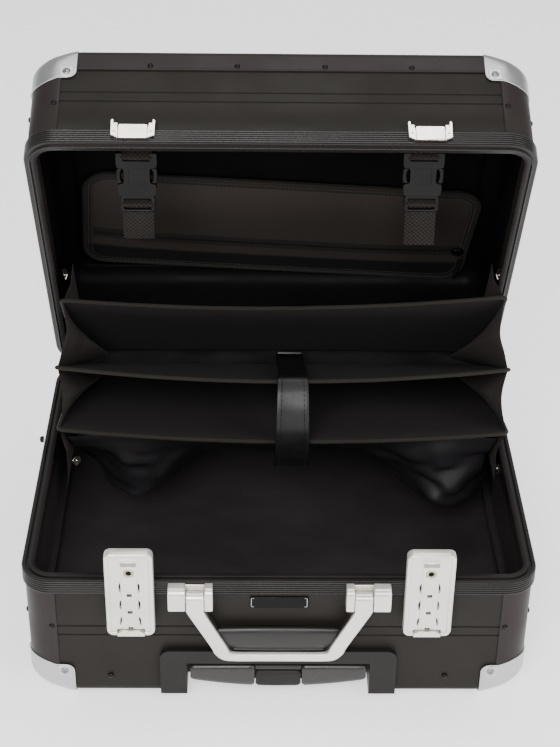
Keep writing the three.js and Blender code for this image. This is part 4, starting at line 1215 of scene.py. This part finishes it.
def grip_part(name, x0, x1, inset, crown, top, look, body, slot, *nodes):
    """Length of the trolley grip between two places, with a soft oval section."""
    low, high = span("trolley_grip")
    half = high.x
    stations = 22
    rows = []
    for station in range(stations + 1):
        share = station / stations
        x = x0 + (x1 - x0) * share
        end = min(share, 1 - share) * (x1 - x0)
        shrink = 1.6 * max(0.0, 1 - end / 3.0) ** 2
        bottom = grip_low_edge(x, low.z, 19, half) + inset + shrink
        upper = top - shrink
        middle_z, half_z = (bottom + upper) / 2, (upper - bottom) / 2
        middle_y = (low.y + high.y) / 2 + inset
        half_y = (high.y - low.y) / 2 - inset * 0.5 - shrink * 0.6
        rows.append([(x, middle_y + half_y * math.copysign(abs(c) ** crown, c),
                      middle_z + half_z * math.copysign(abs(s) ** crown, s))
                     for c, s in circle(1, 32)])
    shape = Shape().grid(rows, wrap_columns=True, caps=True)
    return dress(bevel(build(name, shape, sharp=50), 0.3, 1, 60), look, body, slot, *nodes)


def trolley():
    low, high = span("trolley_grip")
    button_low, button_high = span("trolley_button")
    edge = button_high.x + 1.0
    grip_part("trolley_grip_right", edge, high.x, 0.0, 0.6, high.z, GLOSSY_GRIP,
              "trolley_upper", "plastic", "trolley_grip")
    grip_part("trolley_grip_left", low.x, -edge, 0.0, 0.6, high.z, GLOSSY_GRIP,
              "trolley_upper", "plastic")
    core = box((-edge - 3, low.y + 8.5, button_low.z + 4), (edge + 3, high.y - 1.5, high.z - 0.6))
    dress(bevel(build("trolley_grip_core", core), 1), SOFT_GRIP, "trolley_upper", "plastic")
    bridge = box((-edge + 0.4, low.y + 1.6, button_high.z + 1.4), (edge - 0.4, high.y - 1, high.z - 0.3))
    dress(bevel(build("trolley_grip_bridge", bridge), 1.2, 3), SOFT_GRIP, "trolley_upper", "plastic")
    grip_part("trolley_button_cap", button_low.x, button_high.x, 0.5, 0.45, button_high.z, MOULDED,
              "trolley_button", "plastic", "trolley_button")


trolley()


# ---- dividers ----------------------------------------------------------------------------------
BOARD_SKIN = 2.4
BOARD_SHIFT = 4
BOARD_START = 28
BOARD_CORNER = 0.035
BOARD_ANGLES = {"divider_lower": 16.0, "divider_middle": 31.0, "divider_upper": 49.5}


class Board:
    """Stiff cloth-covered board of the fan, with its reach on the left, middle and right."""

    def __init__(self, name, reaches, offset, sag, half_width=213):
        self.name = name
        self.angle = BOARD_ANGLES[name]
        self.reaches = reaches
        self.offset = offset
        self.sag = sag
        self.half_width = half_width

    def reach(self, across):
        """Length from the hinge, with across running from -1 at the left to 1 at the right."""
        left, middle, right = self.reaches
        return middle + (right - left) / 2 * across + ((left + right) / 2 - middle) * across ** 2

    def rise(self, across, along):
        """Offset from the plane through the hinge."""
        return self.offset + self.sag * (1 - across ** 2) * smoothstep(0.1, 1.0, along)

    def at(self, across, along, above=0.0):
        r = BOARD_START + (self.reach(across) - BOARD_START) * along
        x = BOARD_SHIFT + across * self.half_width
        return (x, -r, self.rise(across, along) + above)

    def frame(self):
        return fan(self.angle)


BOARDS = (Board("divider_lower", (198, 206, 204), -8, -8.5),
          Board("divider_middle", (204, 209, 205), 0, -12),
          Board("divider_upper", (177, 171, 193), 8, -5))


def rounded_reach(across):
    """Pulls a board's corners in so that they are rounded."""
    edge = max(0.0, (abs(across) - (1 - BOARD_CORNER)) / BOARD_CORNER)
    return 1 - BOARD_CORNER * (1 - math.sqrt(max(0.0, 1 - edge ** 2)))


def board_piece(board):
    """Woven cover over the board, with a bound edge round its sides and front."""
    ends = [0.965, 0.985, 0.995, 1]
    columns = [-c for c in reversed(ends)] + [-0.93 + 1.86 * i / 30 for i in range(31)] + ends
    rows = [i / 22 for i in range(23)]

    def surface(above):
        def lift(c, r):
            return above + 0.35 * wrinkle((c * board.half_width, r * 200, board.angle), 45)

        return [[board.at(c, r * rounded_reach(c), lift(c, r)) for r in rows] for c in columns]

    top, bottom = surface(BOARD_SKIN / 2), surface(-BOARD_SKIN / 2)
    loops = [t + list(reversed(b)) for t, b in zip(top, bottom)]
    shape = Shape().grid(loops, wrap_columns=True, caps=True)
    piece = build(f"{board.name}_cover", shape, board.frame(), 50)
    dress(piece, BOARD, board.name, "divider_fabric", board.name)
    sides = (0.05, 0.2, 0.4, 0.6, 0.8, 0.93)
    edge = [board.at(-1, r) for r in sides]
    edge += [board.at(c, rounded_reach(c)) for c in columns]
    edge += [board.at(1, r) for r in reversed(sides)]
    path = []
    for i, point in enumerate(edge[:-1]):
        step = Vector(edge[i + 1]) - Vector(point)
        count = max(1, int(step.length / 8))
        path += [Vector(point) + step * k / count for k in range(count)]
    path.append(Vector(edge[-1]))
    rim_tape = tube([p + Vector((0, 0, 0.25 * wrinkle(p, 18))) for p in path], 1.9, 10)
    binding = build(f"{board.name}_binding", rim_tape, board.frame(), 60)
    dress(binding, BINDING, board.name, "divider_fabric")


for fan_board in BOARDS:
    board_piece(fan_board)


def fan_point(x, angle, reach, offset=0.0):
    """Point of the fan in the base's millimetres."""
    turn = math.radians(angle)
    return Vector((x, HINGE.y - reach * math.cos(turn) + offset * math.sin(turn),
                   HINGE.z + reach * math.sin(turn) + offset * math.cos(turn)))


def drape(name, rows, thickness, look):
    """Sheet of cloth through rows of points, smoothed and given its look."""
    piece = build(name, Shape().grid(rows), sharp=60, closed=False)
    thicken(piece, thickness, 0)
    subdivide(piece)
    settle(piece, 60)
    piece.data.materials.append(look)
    return piece


# The upper board turns by a share of the lid's turn. This stretch only moves a start point that is not used.
LID_GUSSET_STRETCH = 3.165


def gusset(name, lower, upper, sign, bodies, depth, bow):
    """Folded cloth that joins the side edges of two boards and tucks in between them."""
    steps, reaches = 16, 22
    near_end = 32
    rows = []
    for t in (i / steps for i in range(steps + 1)):
        angle = lower.angle + (upper.angle - lower.angle) * t
        half = lower.half_width + (upper.half_width - lower.half_width) * t
        lower_far, upper_far = lower.reach(sign) * 0.985, upper.reach(sign) * 0.985
        far = lower_far + (upper_far - lower_far) * t - bow * math.sin(math.pi * t)
        tuck = depth * max(0.0, 1 - abs(2 * t - 1)) ** 0.8
        row = []
        for k in range(reaches + 1):
            share = k / reaches
            r = near_end + (far - near_end) * k / reaches
            rise = lower.rise(sign, share) * (1 - t) + upper.rise(sign, share) * t
            pucker = (1.4 + 1.8 * wrinkle((r, 60 * t, angle), 26, sign)) * min(1, 4 * t * (1 - t))
            inward = tuck * (0.12 + 0.88 * (1 - share ** 1.5)) + pucker
            x = BOARD_SHIFT + sign * (half - 1.0 - max(0.0, inward))
            row.append(fan_point(x, angle, r, rise))
        rows.append(row)
    piece = drape(name, rows, 0.7, GUSSET)
    start = fan_point(0, lower.angle, 170, lower.offset) * MM
    end = fan_point(0, upper.angle, 170, upper.offset) * MM
    if bodies == ("base", "lid"):
        start = end - (end - start) * LID_GUSSET_STRETCH
    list(bodies)
    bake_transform(piece)


class Rim:
    """Stands for the lid's or base's edge where a gusset ends."""

    def __init__(self, angle, reaches, half_width, offset=0.0):
        self.angle = angle
        self.reaches = reaches
        self.half_width = half_width
        self.offset = offset

    def reach(self, across):
        return self.reaches[0] if across < 0 else self.reaches[1]

    def rise(self, across, along):
        return self.offset


LID_EDGE = Rim(LID_OPEN, (165, 170), 207, 13)
BASE_EDGE = Rim(-1.5, (205, 190), 208, -12)
GUSSETS = (("lower", BOARDS[0], BOARDS[1], ("divider_lower", "divider_middle"), 30, 5),
           ("upper", BOARDS[1], BOARDS[2], ("divider_middle", "divider_upper"), 34, 5),
           ("lid", BOARDS[2], LID_EDGE, ("base", "lid"), 10, 8),
           ("base", BASE_EDGE, BOARDS[0], ("base", "divider_lower"), 9, 10))
for side_name, side_sign in SIDES:
    for fold_name, under, over, fold_bodies, tuck_depth, fold_bow in GUSSETS:
        gusset(f"gusset_{fold_name}_{side_name}", under, over, side_sign, fold_bodies,
               tuck_depth, fold_bow)


def hanging_cloth():
    """Slack lining under the lowest board, gathered at its sides."""
    columns, levels = 44, 22
    half = 207
    gather_left, gather_right = (143, 40, -8), (158, 52, -22)
    edge = HINGE.y - 184
    rows = []
    for level in range(levels + 1):
        v = level / levels
        row = []
        for column in range(columns + 1):
            u = 2 * column / columns - 1
            middle, spread, drop = gather_left if u < 0 else gather_right
            side = math.exp(-((abs(u) * half - middle) / spread) ** 2)
            low = 76 * (1 - side) + drop * side
            y = edge + (low - edge) * v ** 1.2
            z = HINGE.z + 33 - (70 + 10 * side) * v
            fold = wrinkle((u * 150, v * 40, 2), 34, 1.5)
            x = BOARD_SHIFT + u * (half - 8 * math.sin(math.pi * v))
            sharp = 1 - 2.2 * abs(wrinkle((u * 170, v * 60, 9), 26, 2.5))
            push = (5 + 6 * side) * min(1, 2 * v) * (0.6 * fold + 0.9 * sharp)
            row.append(Vector((x + 0.3 * push, y + push, z + 0.5 * push)))
        rows.append(row)
    # Its darker copy of the lining is painted shade under the lowest board.
    piece = drape("slack_lining", rows, 0.6, SLACK_PAINTED_SHADE)
    start, end = Vector((0, 60, 75)) * MM, fan_point(0, 16, 170, -8) * MM
    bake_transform(piece)
    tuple(start)
    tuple(end)


hanging_cloth()


def hinge_cloth():
    """Cloth that runs from the base's lining over the hinge into the lid, behind the boards."""
    rows = []
    stations = ((-24, 30), (-8, 26), (4, 25), (16, 24), (28, 23), (40, 23), (52, 24), (64, 26),
                (76, 27), (90, 31))
    for angle, reach in stations:
        rows.append([fan_point(BOARD_SHIFT + 211 * (2 * i / 60 - 1), angle,
                               reach + 1.5 * wrinkle((7 * i, angle, 0), 30, 6)) for i in range(61)])
    # The darker copy of the lining is painted shade on this cloth between the boards.
    piece = drape("hinge_cloth", rows, 0.8, LINING_PAINTED_SHADE)
    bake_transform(piece)


hinge_cloth()


# ---- closure strap -----------------------------------------------------------------------------
def strap_run(name, path, widths, stitched=True, nodes=()):
    """Flat leather strap along (y, z) points, with a rounded edge and stitches near its sides."""
    line = curve_through(path, 8)
    count = len(line)
    rows, normals = [], []
    for i in range(count):
        along = (line[min(i + 1, count - 1)] - line[max(i - 1, 0)]).normalized()
        normal = Vector((-along.y, along.x))
        is_level = abs(normal.y) > abs(normal.x)
        if normal.y < 0 and is_level or normal.x > 0 and not is_level:
            normal = -normal
        normals.append((along, normal))
    for i, point in enumerate(line):
        half = widths[0] + (widths[1] - widths[0]) * i / (count - 1)
        along, normal = normals[i]
        section = [(-half, 0), (-half + 0.3, 0.8), (-half + 1.5, 1.15), (-half + 3.2, 0.9), (0, 1.1),
                   (half - 3.2, 0.9), (half - 1.5, 1.15), (half - 0.3, 0.8), (half, 0),
                   (half - 0.5, -0.9), (-half + 0.5, -0.9)]
        rows.append([(STRAP_MIDDLE + u, point.x + w * normal.x, point.y + w * normal.y)
                     for u, w in section])
    shape = Shape().grid(rows, wrap_columns=True, caps=True)
    piece = build(name, shape, sharp=50)
    piece.data.materials.append(LEATHER)
    if nodes:
        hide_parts(*nodes)
    pieces = [piece]
    if stitched:
        pitch, from_edge, proud = 4.6, 4.4, 0.95
        stitch = plate(rounded(0.7, 3.2, 0.34, 2), -0.4, 0.35)
        seam = Shape()
        distance = 0.0
        for i in range(1, count):
            step = (line[i] - line[i - 1]).length
            while distance < step:
                at = line[i - 1].lerp(line[i], distance / step)
                along, normal = normals[i]
                half = widths[0] + (widths[1] - widths[0]) * i / (count - 1)
                turn = Matrix(((1, 0, 0), (0, along.x, normal.x), (0, along.y, normal.y))).to_4x4()
                for side in (-1, 1):
                    spot = (STRAP_MIDDLE + side * (half - from_edge), at.x + normal.x * proud,
                            at.y + normal.y * proud)
                    seam.merge(stitch, Matrix.Translation(spot) @ turn)
                distance += pitch
            distance -= step
        seam = build(f"{name}_stitches", seam)
        seam.data.materials.append(NYLON_DARK_THREAD_AND_SHADE)
        pieces.append(seam)
    for made in pieces:
        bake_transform(made)


def yz(angle, reach, offset=0.0):
    point = fan_point(0, angle, reach, offset)
    return point.y, point.z


STRAP_MIDDLE = 13
middle_edge = BOARDS[1].reach(0)
middle_rise = BOARDS[1].rise(0, 1)
lower_edge = BOARDS[0].reach(0)
lower_rise = BOARDS[0].rise(0, 1)
root_path = [yz(44, 30, 3), yz(38, 52, 1), yz(31, 90, 4), yz(31, 140, 1), yz(31, 180, middle_rise + 9),
             yz(31, middle_edge, middle_rise + 4.6), yz(30.5, middle_edge + 5, middle_rise + 1.5)]
fall_path = [yz(30.5, middle_edge + 4.8, middle_rise + 2.4), yz(28.5, middle_edge + 9, middle_rise - 2),
             yz(24.5, middle_edge + 11, middle_rise - 3), yz(20.5, lower_edge + 13, lower_rise + 1),
             yz(17.2, lower_edge + 9.5, lower_rise + 0.5), yz(14.8, lower_edge + 5, lower_rise - 2),
             yz(12.5, lower_edge - 1, lower_rise - 4), yz(10.5, lower_edge - 9, lower_rise - 5),
             yz(8, lower_edge - 20, lower_rise - 6.5)]
strap_run("closure_strap_root", root_path, (13.2, 14.2),
          stitched=False)
strap_run("closure_strap_fall", fall_path, (14.4, 17.4),
          nodes=("closure_strap",))
tab = plate(rounded(27, 17, 2.2, 5), 0, 2.4)
tab_turn = Matrix.Rotation(math.radians(8), 4, "X")
tab_place = fan(40.5) @ Matrix.Translation((STRAP_MIDDLE, -44, 4)) @ tab_turn
dress(bevel(build("closure_strap_anchor", tab, tab_place), 0.5, 2), LEATHER, "divider_middle", "leather")


# ---- straps with buckles in the lid --------------------------------------------------------------
HANG = LID @ Matrix.Rotation(math.radians(LID_OPEN - 90), 4, "X")


def buckle(side, sign):
    """Side-release buckle on ribbed webbing that hangs down inside the open lid."""
    low, high = span(f"lid_strap_{side}", HANG)
    place = HANG @ Matrix.Translation(((low.x + high.x) / 2, low.y, (low.z + high.z) / 2))
    top, tail = (67, 159) if sign < 0 else (65, 162)
    body_half = [(19, top), (19.2, top + 9), (18.6, top + 14.4), (13, top + 15.6), (12.2, top + 18),
                 (12.2, top + 28.4), (13, top + 30.6), (17.6, top + 32), (18.2, top + 36),
                 (17.4, top + 42.5), (15.6, top + 44.2)]
    ears = [(-12.6, top), (-12.6, top + 8), (12.6, top + 8), (12.6, top)]
    outline_points = ears + body_half + [(-x, v) for x, v in reversed(body_half)]
    body = build(f"buckle_body_{side}", plate(outline_points, -6, 4), place)
    recess = build("recess", plate(rounded(15, 17, 3, 5, (0, top + 24)), -8, -5.6), place)
    body = carve(body, recess)
    dress(bevel(body, 0.9, 3, 40), BUCKLE, "lid", "webbing", f"lid_strap_{side}")
    parts = Shape()
    button = [(13.6, top + 15.9), (17.4, top + 15.4), (19, top + 17.4), (19.2, top + 23.4),
              (19, top + 29.4), (17.4, top + 31.4), (13.6, top + 30.8), (15.2, top + 27.4),
              (15.8, top + 23.4), (15.2, top + 19.4)]
    for way in (-1, 1):
        parts.merge(plate([(way * x, v) for x, v in button], -5, 3))
    parts.merge(plate(rounded(25.4, 3.4, 1.2, 3, (0, top + 3.8)), -4.2, 1.0))
    dress(bevel(build(f"buckle_buttons_{side}", parts, place), 0.6, 2, 40), BUCKLE, "lid", "webbing")
    ladder = plate(rounded(32.5, 16.4, 2.6, 4, (0, top + 52.6)), -5, 3.4)
    ladder = build(f"buckle_ladder_{side}", ladder, place)
    slots = [build("slot", plate(rounded(25.4, 4.2, 1, 3, (0, top + v)), -9, 9), place)
             for v in (49.4, 56.4)]
    dress(bevel(carve(ladder, *slots), 0.7, 2, 40), BUCKLE, "lid", "webbing")

    def web(name, path):
        half = 14.8
        section = ((-half, 0), (-half + 0.6, 0.7), (0, 0.85), (half - 0.6, 0.7), (half, 0),
                   (half - 0.6, -0.7), (0, -0.85), (-half + 0.6, -0.7))
        line = curve_through(path, 8)
        rows = []
        for i, point in enumerate(line):
            along = (line[min(i + 1, len(line) - 1)] - line[max(i - 1, 0)]).normalized()
            normal = Vector((along.y, -along.x))
            row = []
            for u, w in section:
                at = point + normal * w
                row.append((u, at.x, at.y))
            rows.append(row)
        piece = build(name, Shape().grid(rows, wrap_columns=True, caps=True), place, 50)
        dress(piece, WEBBING, "lid", "webbing")
        length = sum((b - a).length for a, b in zip(line, line[1:]))

    lean = 2 if sign < 0 else -2
    web(f"strap_upper_{side}", [(1, 0.5), (30, 0.5), (60, -0.8), (top + 1.8, -5.2), (top + 4.2, -5.9),
                               (top + 7, -3.5), (top + 6, 2.2), (60, 2.6)])
    web(f"strap_lower_{side}", [(top + 46.6, 4.2), (top + 49.6, 0), (top + 52.8, -6.2),
                               (top + 56.2, -2.2), (top + 60, -0.6), (tail - 14, -1.6),
                               (tail, -0.4 + lean)])


for side_name, side_sign in SIDES:
    buckle(side_name, side_sign)


# ---- zip pouch in the lid ------------------------------------------------------------------------
POUCH = LID @ Matrix.Translation((2, 79.5, 0)) @ Matrix.Rotation(math.radians(4.4), 4, "Z")
POUCH_WIDTH = 404
POUCH_DEPTH = 145
POUCH_CORNER = 24
ZIP_AT = 20.9
SEAM_AT = 42.5


def pouch_height(u, v):
    """Crowned face of the pouch: it stands off the lid's lining most in its middle."""
    a, b = abs(u) / (POUCH_WIDTH / 2), abs(v) / (POUCH_DEPTH / 2)
    swell = (1 - min(1, a) ** 4) * (1 - min(1, b) ** 3)
    return 104.2 - 5.2 * swell + 0.5 * wrinkle((u, v, 0), 60, 4)


def at(u, v, above=0.0):
    """Point over the pouch's face."""
    return Vector((u, v, pouch_height(u, v) - above))


def pouch_ring(inset):
    """Outline of the pouch's face, drawn in by an inset."""
    return rounded(POUCH_WIDTH - 2 * inset, POUCH_DEPTH - 2 * inset, POUCH_CORNER - inset, 8)


def with_steps(ring, count_at):
    """A closed ring with more points, each side cut into a number of steps."""
    made = []
    for i, (u, v) in enumerate(ring):
        after = ring[(i + 1) % len(ring)]
        count = count_at(i, math.dist((u, v), after))
        made += [(u + (after[0] - u) * k / count, v + (after[1] - v) * k / count)
                 for k in range(count)]
    return made


def tape_steps(index, gap):
    """Steps on a side of the tape: many on the long walls, fewer on the short, one in a corner."""
    return 30 if index % 18 == 8 else 12 if index % 9 == 8 else 1


def pouch():
    """Nylon pouch with a dark sheet of painted shade over its lower part, piping, taped edge, stitches and zip."""
    dense = with_steps(pouch_ring(0), lambda i, gap: max(1, int(gap / 12)))
    shape = Shape()
    back = [(u, v, 107.2) for u, v in dense]
    front = [tuple(at(u, v)) for u, v in dense]
    shape.grid([back, front], wrap_columns=True)
    shape.fill(front, 14, lambda point, share: at(point.x, point.y))
    shape.face(list(range(len(dense))))
    piece = build("pouch_body", shape, POUCH, 50)
    dress(piece, NYLON, "lid", "pouch_fabric", "zip_pouch")
    # A dark sheet over the lower part of the face: painted shade below the lower seam.
    lower = []
    for i in range(15):
        v = SEAM_AT + 1.5 + (POUCH_DEPTH / 2 - 3.2 - SEAM_AT - 1.5) * i / 14
        past = max(0.0, v - (POUCH_DEPTH / 2 - POUCH_CORNER)) / POUCH_CORNER
        half = POUCH_WIDTH / 2 - 3 - POUCH_CORNER * (1 - math.sqrt(max(0.0, 1 - past ** 2)))
        lower.append([at(half * (1 - 2 * k / 60), v, 0.5) for k in range(61)])
    panel = build("pouch_lower_painted_shade", Shape().grid(lower), POUCH, 60, closed=False)
    thicken(panel, 0.5, 0)
    dress(panel, NYLON_DARK_THREAD_AND_SHADE, "lid", "pouch_fabric")
    welt = tube([at(u, v, 0.4) for u, v in dense], 2.0, 10, closed=True)
    dress(build("pouch_piping", welt, POUCH, 60), BINDING, "lid", "pouch_fabric")
    tape = []
    for inset, lift in ((0.8, -0.2), (1.4, 0.5), (8.6, 0.5), (9.2, -0.2)):
        tape.append([at(u, v, lift) for u, v in with_steps(pouch_ring(inset), tape_steps)])
    tape = Shape().grid(tape, wrap_rows=True, wrap_columns=True)
    dress(build("pouch_edge_tape", tape, POUCH, 60), BINDING, "lid", "pouch_fabric")
    seam = Shape()
    for inset in (4.0, 7.6):
        run = pouch_ring(inset)
        for i, point in enumerate(run):
            after = run[(i + 1) % len(run)]
            gap = math.dist(point, after)
            count = max(1, round(gap / 4.2))
            turn = math.atan2(after[1] - point[1], after[0] - point[0])
            for k in range(count):
                u = point[0] + (after[0] - point[0]) * (k + 0.5) / count
                v = point[1] + (after[1] - point[1]) * (k + 0.5) / count
                place = Matrix.Translation(at(u, v, 0.7)) @ Matrix.Rotation(turn, 4, "Z")
                seam.merge(plate(rounded(min(3, gap * 0.7), 0.6, 0.28, 1), -0.35, 0.3), place)
    dress(build("pouch_stitches", seam, POUCH), THREAD, "lid", "pouch_fabric")
    bands = Shape()
    columns = [-POUCH_WIDTH / 2 + 9 + (POUCH_WIDTH - 18) * i / 60 for i in range(61)]
    for v0, v1, above in ((ZIP_AT - 8, ZIP_AT - 2.2, 0.7), (ZIP_AT + 2.2, ZIP_AT + 8, 0.7),
                          (SEAM_AT - 1.2, SEAM_AT + 1.2, 0.6)):
        section = ((v0, -0.3), (v0 + 0.4, above), (v1 - 0.4, above), (v1, -0.3))
        bands.grid([[at(u, v, lift) for u in columns] for v, lift in section], wrap_rows=True)
    dress(build("pouch_zip_tape", bands, POUCH, 60), BINDING, "lid", "pouch_fabric")
    teeth = Shape()
    tooth = plate(rounded(1.7, 2.6, 0.5, 1), -0.8, 0.4)
    count = 150
    for i in range(count):
        u = -POUCH_WIDTH / 2 + 10 + (POUCH_WIDTH - 20) * (i + 0.5) / count
        v = ZIP_AT + (0.35 if i % 2 else -0.35)
        teeth.merge(tooth, Matrix.Translation(at(u, v, 0.5)))
    dress(build("pouch_zip_teeth", teeth, POUCH), MOULDED, "lid", "pouch_fabric")
    slider = Matrix.Translation(at(192, ZIP_AT, 1.2))
    head = [(-6, -3), (-2, -5), (4, -4.4), (6.4, -1.6), (6.4, 1.6), (4, 4.4), (-2, 5), (-6, 3)]
    head = plate(head, -3.4, 0)
    dress(bevel(build("pouch_slider", head, POUCH @ slider), 0.7, 3), DARK_METAL, "lid", "pouch_fabric")
    puller = Shape()
    puller.merge(plate(rounded(5.4, 22, 2, 4, (0, 15)), -1.2, 0.8))
    puller.merge(plate(rounded(3.6, 20, 1.4, 4, (0, 33)), -0.8, 0.6))
    puller = build("pouch_puller", puller, POUCH @ slider @ Matrix.Translation((4, 3, -3.6)))
    dress(bevel(puller, 0.5, 2), MOULDED, "lid", "pouch_fabric")


pouch()


# ---- small clips -------------------------------------------------------------------------------
def clip(name, place, body):
    """Folded nickel clip that holds the cloth to the edge."""
    shape = plate([(-4, -4.5), (4, -4.5), (4, 1.5), (2.4, 4.5), (-2.4, 4.5), (-4, 1.5)], 0, 1.2)
    shape.merge(rivet(1.7, 1.0), Matrix.Translation((0, -0.6, 1.2)))
    shape.merge(box((-4, -4.5, -3), (4, -3.4, 0.2)))
    dress(bevel(build(name, shape, place), 0.4, 2), NICKEL, body, "keeper")


CLIPS = (("lid", "left", fan(LID_OPEN), (-209.5, -155.8, 3), 70, -20),
         ("lid", "right", fan(LID_OPEN), (216.5, -160, 3), -70, -20),
         ("base", "left", BASE, (-200, 44, 107), 60, 40),
         ("base", "right", BASE, (216.5, 18, 118), -70, 30))
for half_name, side_name, half_frame, clip_point, lean, tip in CLIPS:
    clip_turn = Matrix.Rotation(math.radians(lean), 4, "Y") @ Matrix.Rotation(math.radians(tip), 4, "X")
    clip_place = half_frame @ Matrix.Translation(clip_point) @ clip_turn
    clip(f"{half_name}_clip_{side_name}", clip_place, half_name)
bump = lathe([(0.4, 0), (3.2, 0), (3.2, 2.2), (2.4, 3.4), (0.4, 3.8)], 20)
stud_place = BASE @ toward((rim_low.x + 0.6, 31, 141), (-1, 0, 0))
dress(build("side_stud", bump, stud_place), MOULDED, "lid", "plastic")


# ---- stage, light and camera -------------------------------------------------------------------
def area_light(name, at, aim, size, power):
    data = bpy.data.lights.new(name, "AREA")
    data.shape = "DISK"
    data.size = size
    data.energy = power
    lamp = bpy.data.objects.new(name, data)
    bpy.context.scene.collection.objects.link(lamp)
    lamp.location = at
    lamp.rotation_euler = (Vector(aim) - Vector(at)).to_track_quat("-Z", "Y").to_euler()


def studio():
    world = bpy.data.worlds.new("studio")
    world.use_nodes = True
    backdrop = world.node_tree.nodes["Background"]
    backdrop.inputs["Color"].default_value = (1, 1, 1, 1)
    backdrop.inputs["Strength"].default_value = 0.5
    bpy.context.scene.world = world
    floor_mesh = bpy.data.meshes.new("studio_floor")
    reach = 30
    height = FLOOR - 0.0005
    floor_mesh.from_pydata([(-reach, -reach, height), (reach, -reach, height), (reach, reach, height),
                            (-reach, reach, height)], [], [(0, 1, 2, 3)])
    floor = bpy.data.objects.new("studio_floor", floor_mesh)
    bpy.context.scene.collection.objects.link(floor)
    pale = Look("floor_pale", [0.92, 0.92, 0.92], 0.8)
    pale.shader.inputs["Emission Color"].default_value = (1, 1, 1, 1)
    pale.shader.inputs["Emission Strength"].default_value = 0.95
    floor_mesh.materials.append(pale.material)
    area_light("key", (-0.5, -2.3, 1.9), (0, 0, 0.2), 1.6, 80)
    area_light("fill", (1.6, -1.5, 1.5), (0, 0, 0.2), 1.6, 30)
    area_light("top", (0.1, 0.5, 2.6), (0, 0, 0.1), 1.4, 20)


def camera():
    """Looks down at the open case from the front, slightly left of its middle."""
    eye = Vector((-23.6, -1310.1, 1073.4)) * MM
    yaw, pitch, roll = (math.radians(a) for a in (1.07, 32.5, 0.86))
    forward = Vector((math.sin(yaw) * math.cos(pitch), math.cos(yaw) * math.cos(pitch),
                      -math.sin(pitch)))
    right = Vector((math.cos(yaw), -math.sin(yaw), 0))
    up = right.cross(forward)
    rolled_right = right * math.cos(roll) + up * math.sin(roll)
    rolled_up = up * math.cos(roll) - right * math.sin(roll)
    data = bpy.data.cameras.new("camera")
    data.lens = 80
    data.sensor_width = 36
    data.clip_end = 100
    view = bpy.data.objects.new("camera", data)
    bpy.context.scene.collection.objects.link(view)
    turn = Matrix((rolled_right, rolled_up, -forward)).transposed().to_4x4()
    view.matrix_world = Matrix.Translation(eye) @ turn
    bpy.context.scene.camera = view


studio()
camera()
SLOT_LOOKS = {"profile": PROFILE, "panel": PANEL, "corner": CORNER, "latch": LATCH,
              "keeper": NICKEL, "brass": BRASS, "steel": STEEL, "plastic": MOULDED, "dial": GLOSS,
              "rubber": TREAD, "lining": LINING, "divider_fabric": BOARD, "pouch_fabric": NYLON,
              "webbing": WEBBING, "leather": LEATHER}
SLOT_OF = {part["node"]: part["material_slot"] for part in frame["record"]["subparts"]}
for node_name, node in NODES.items():
    if not node.hide_render:
        node.data.materials.clear()
        node.data.materials.append(SLOT_LOOKS[SLOT_OF[node_name]])
        node.data.shade_smooth()
        node.data.set_sharp_from_angle(angle=math.radians(32))
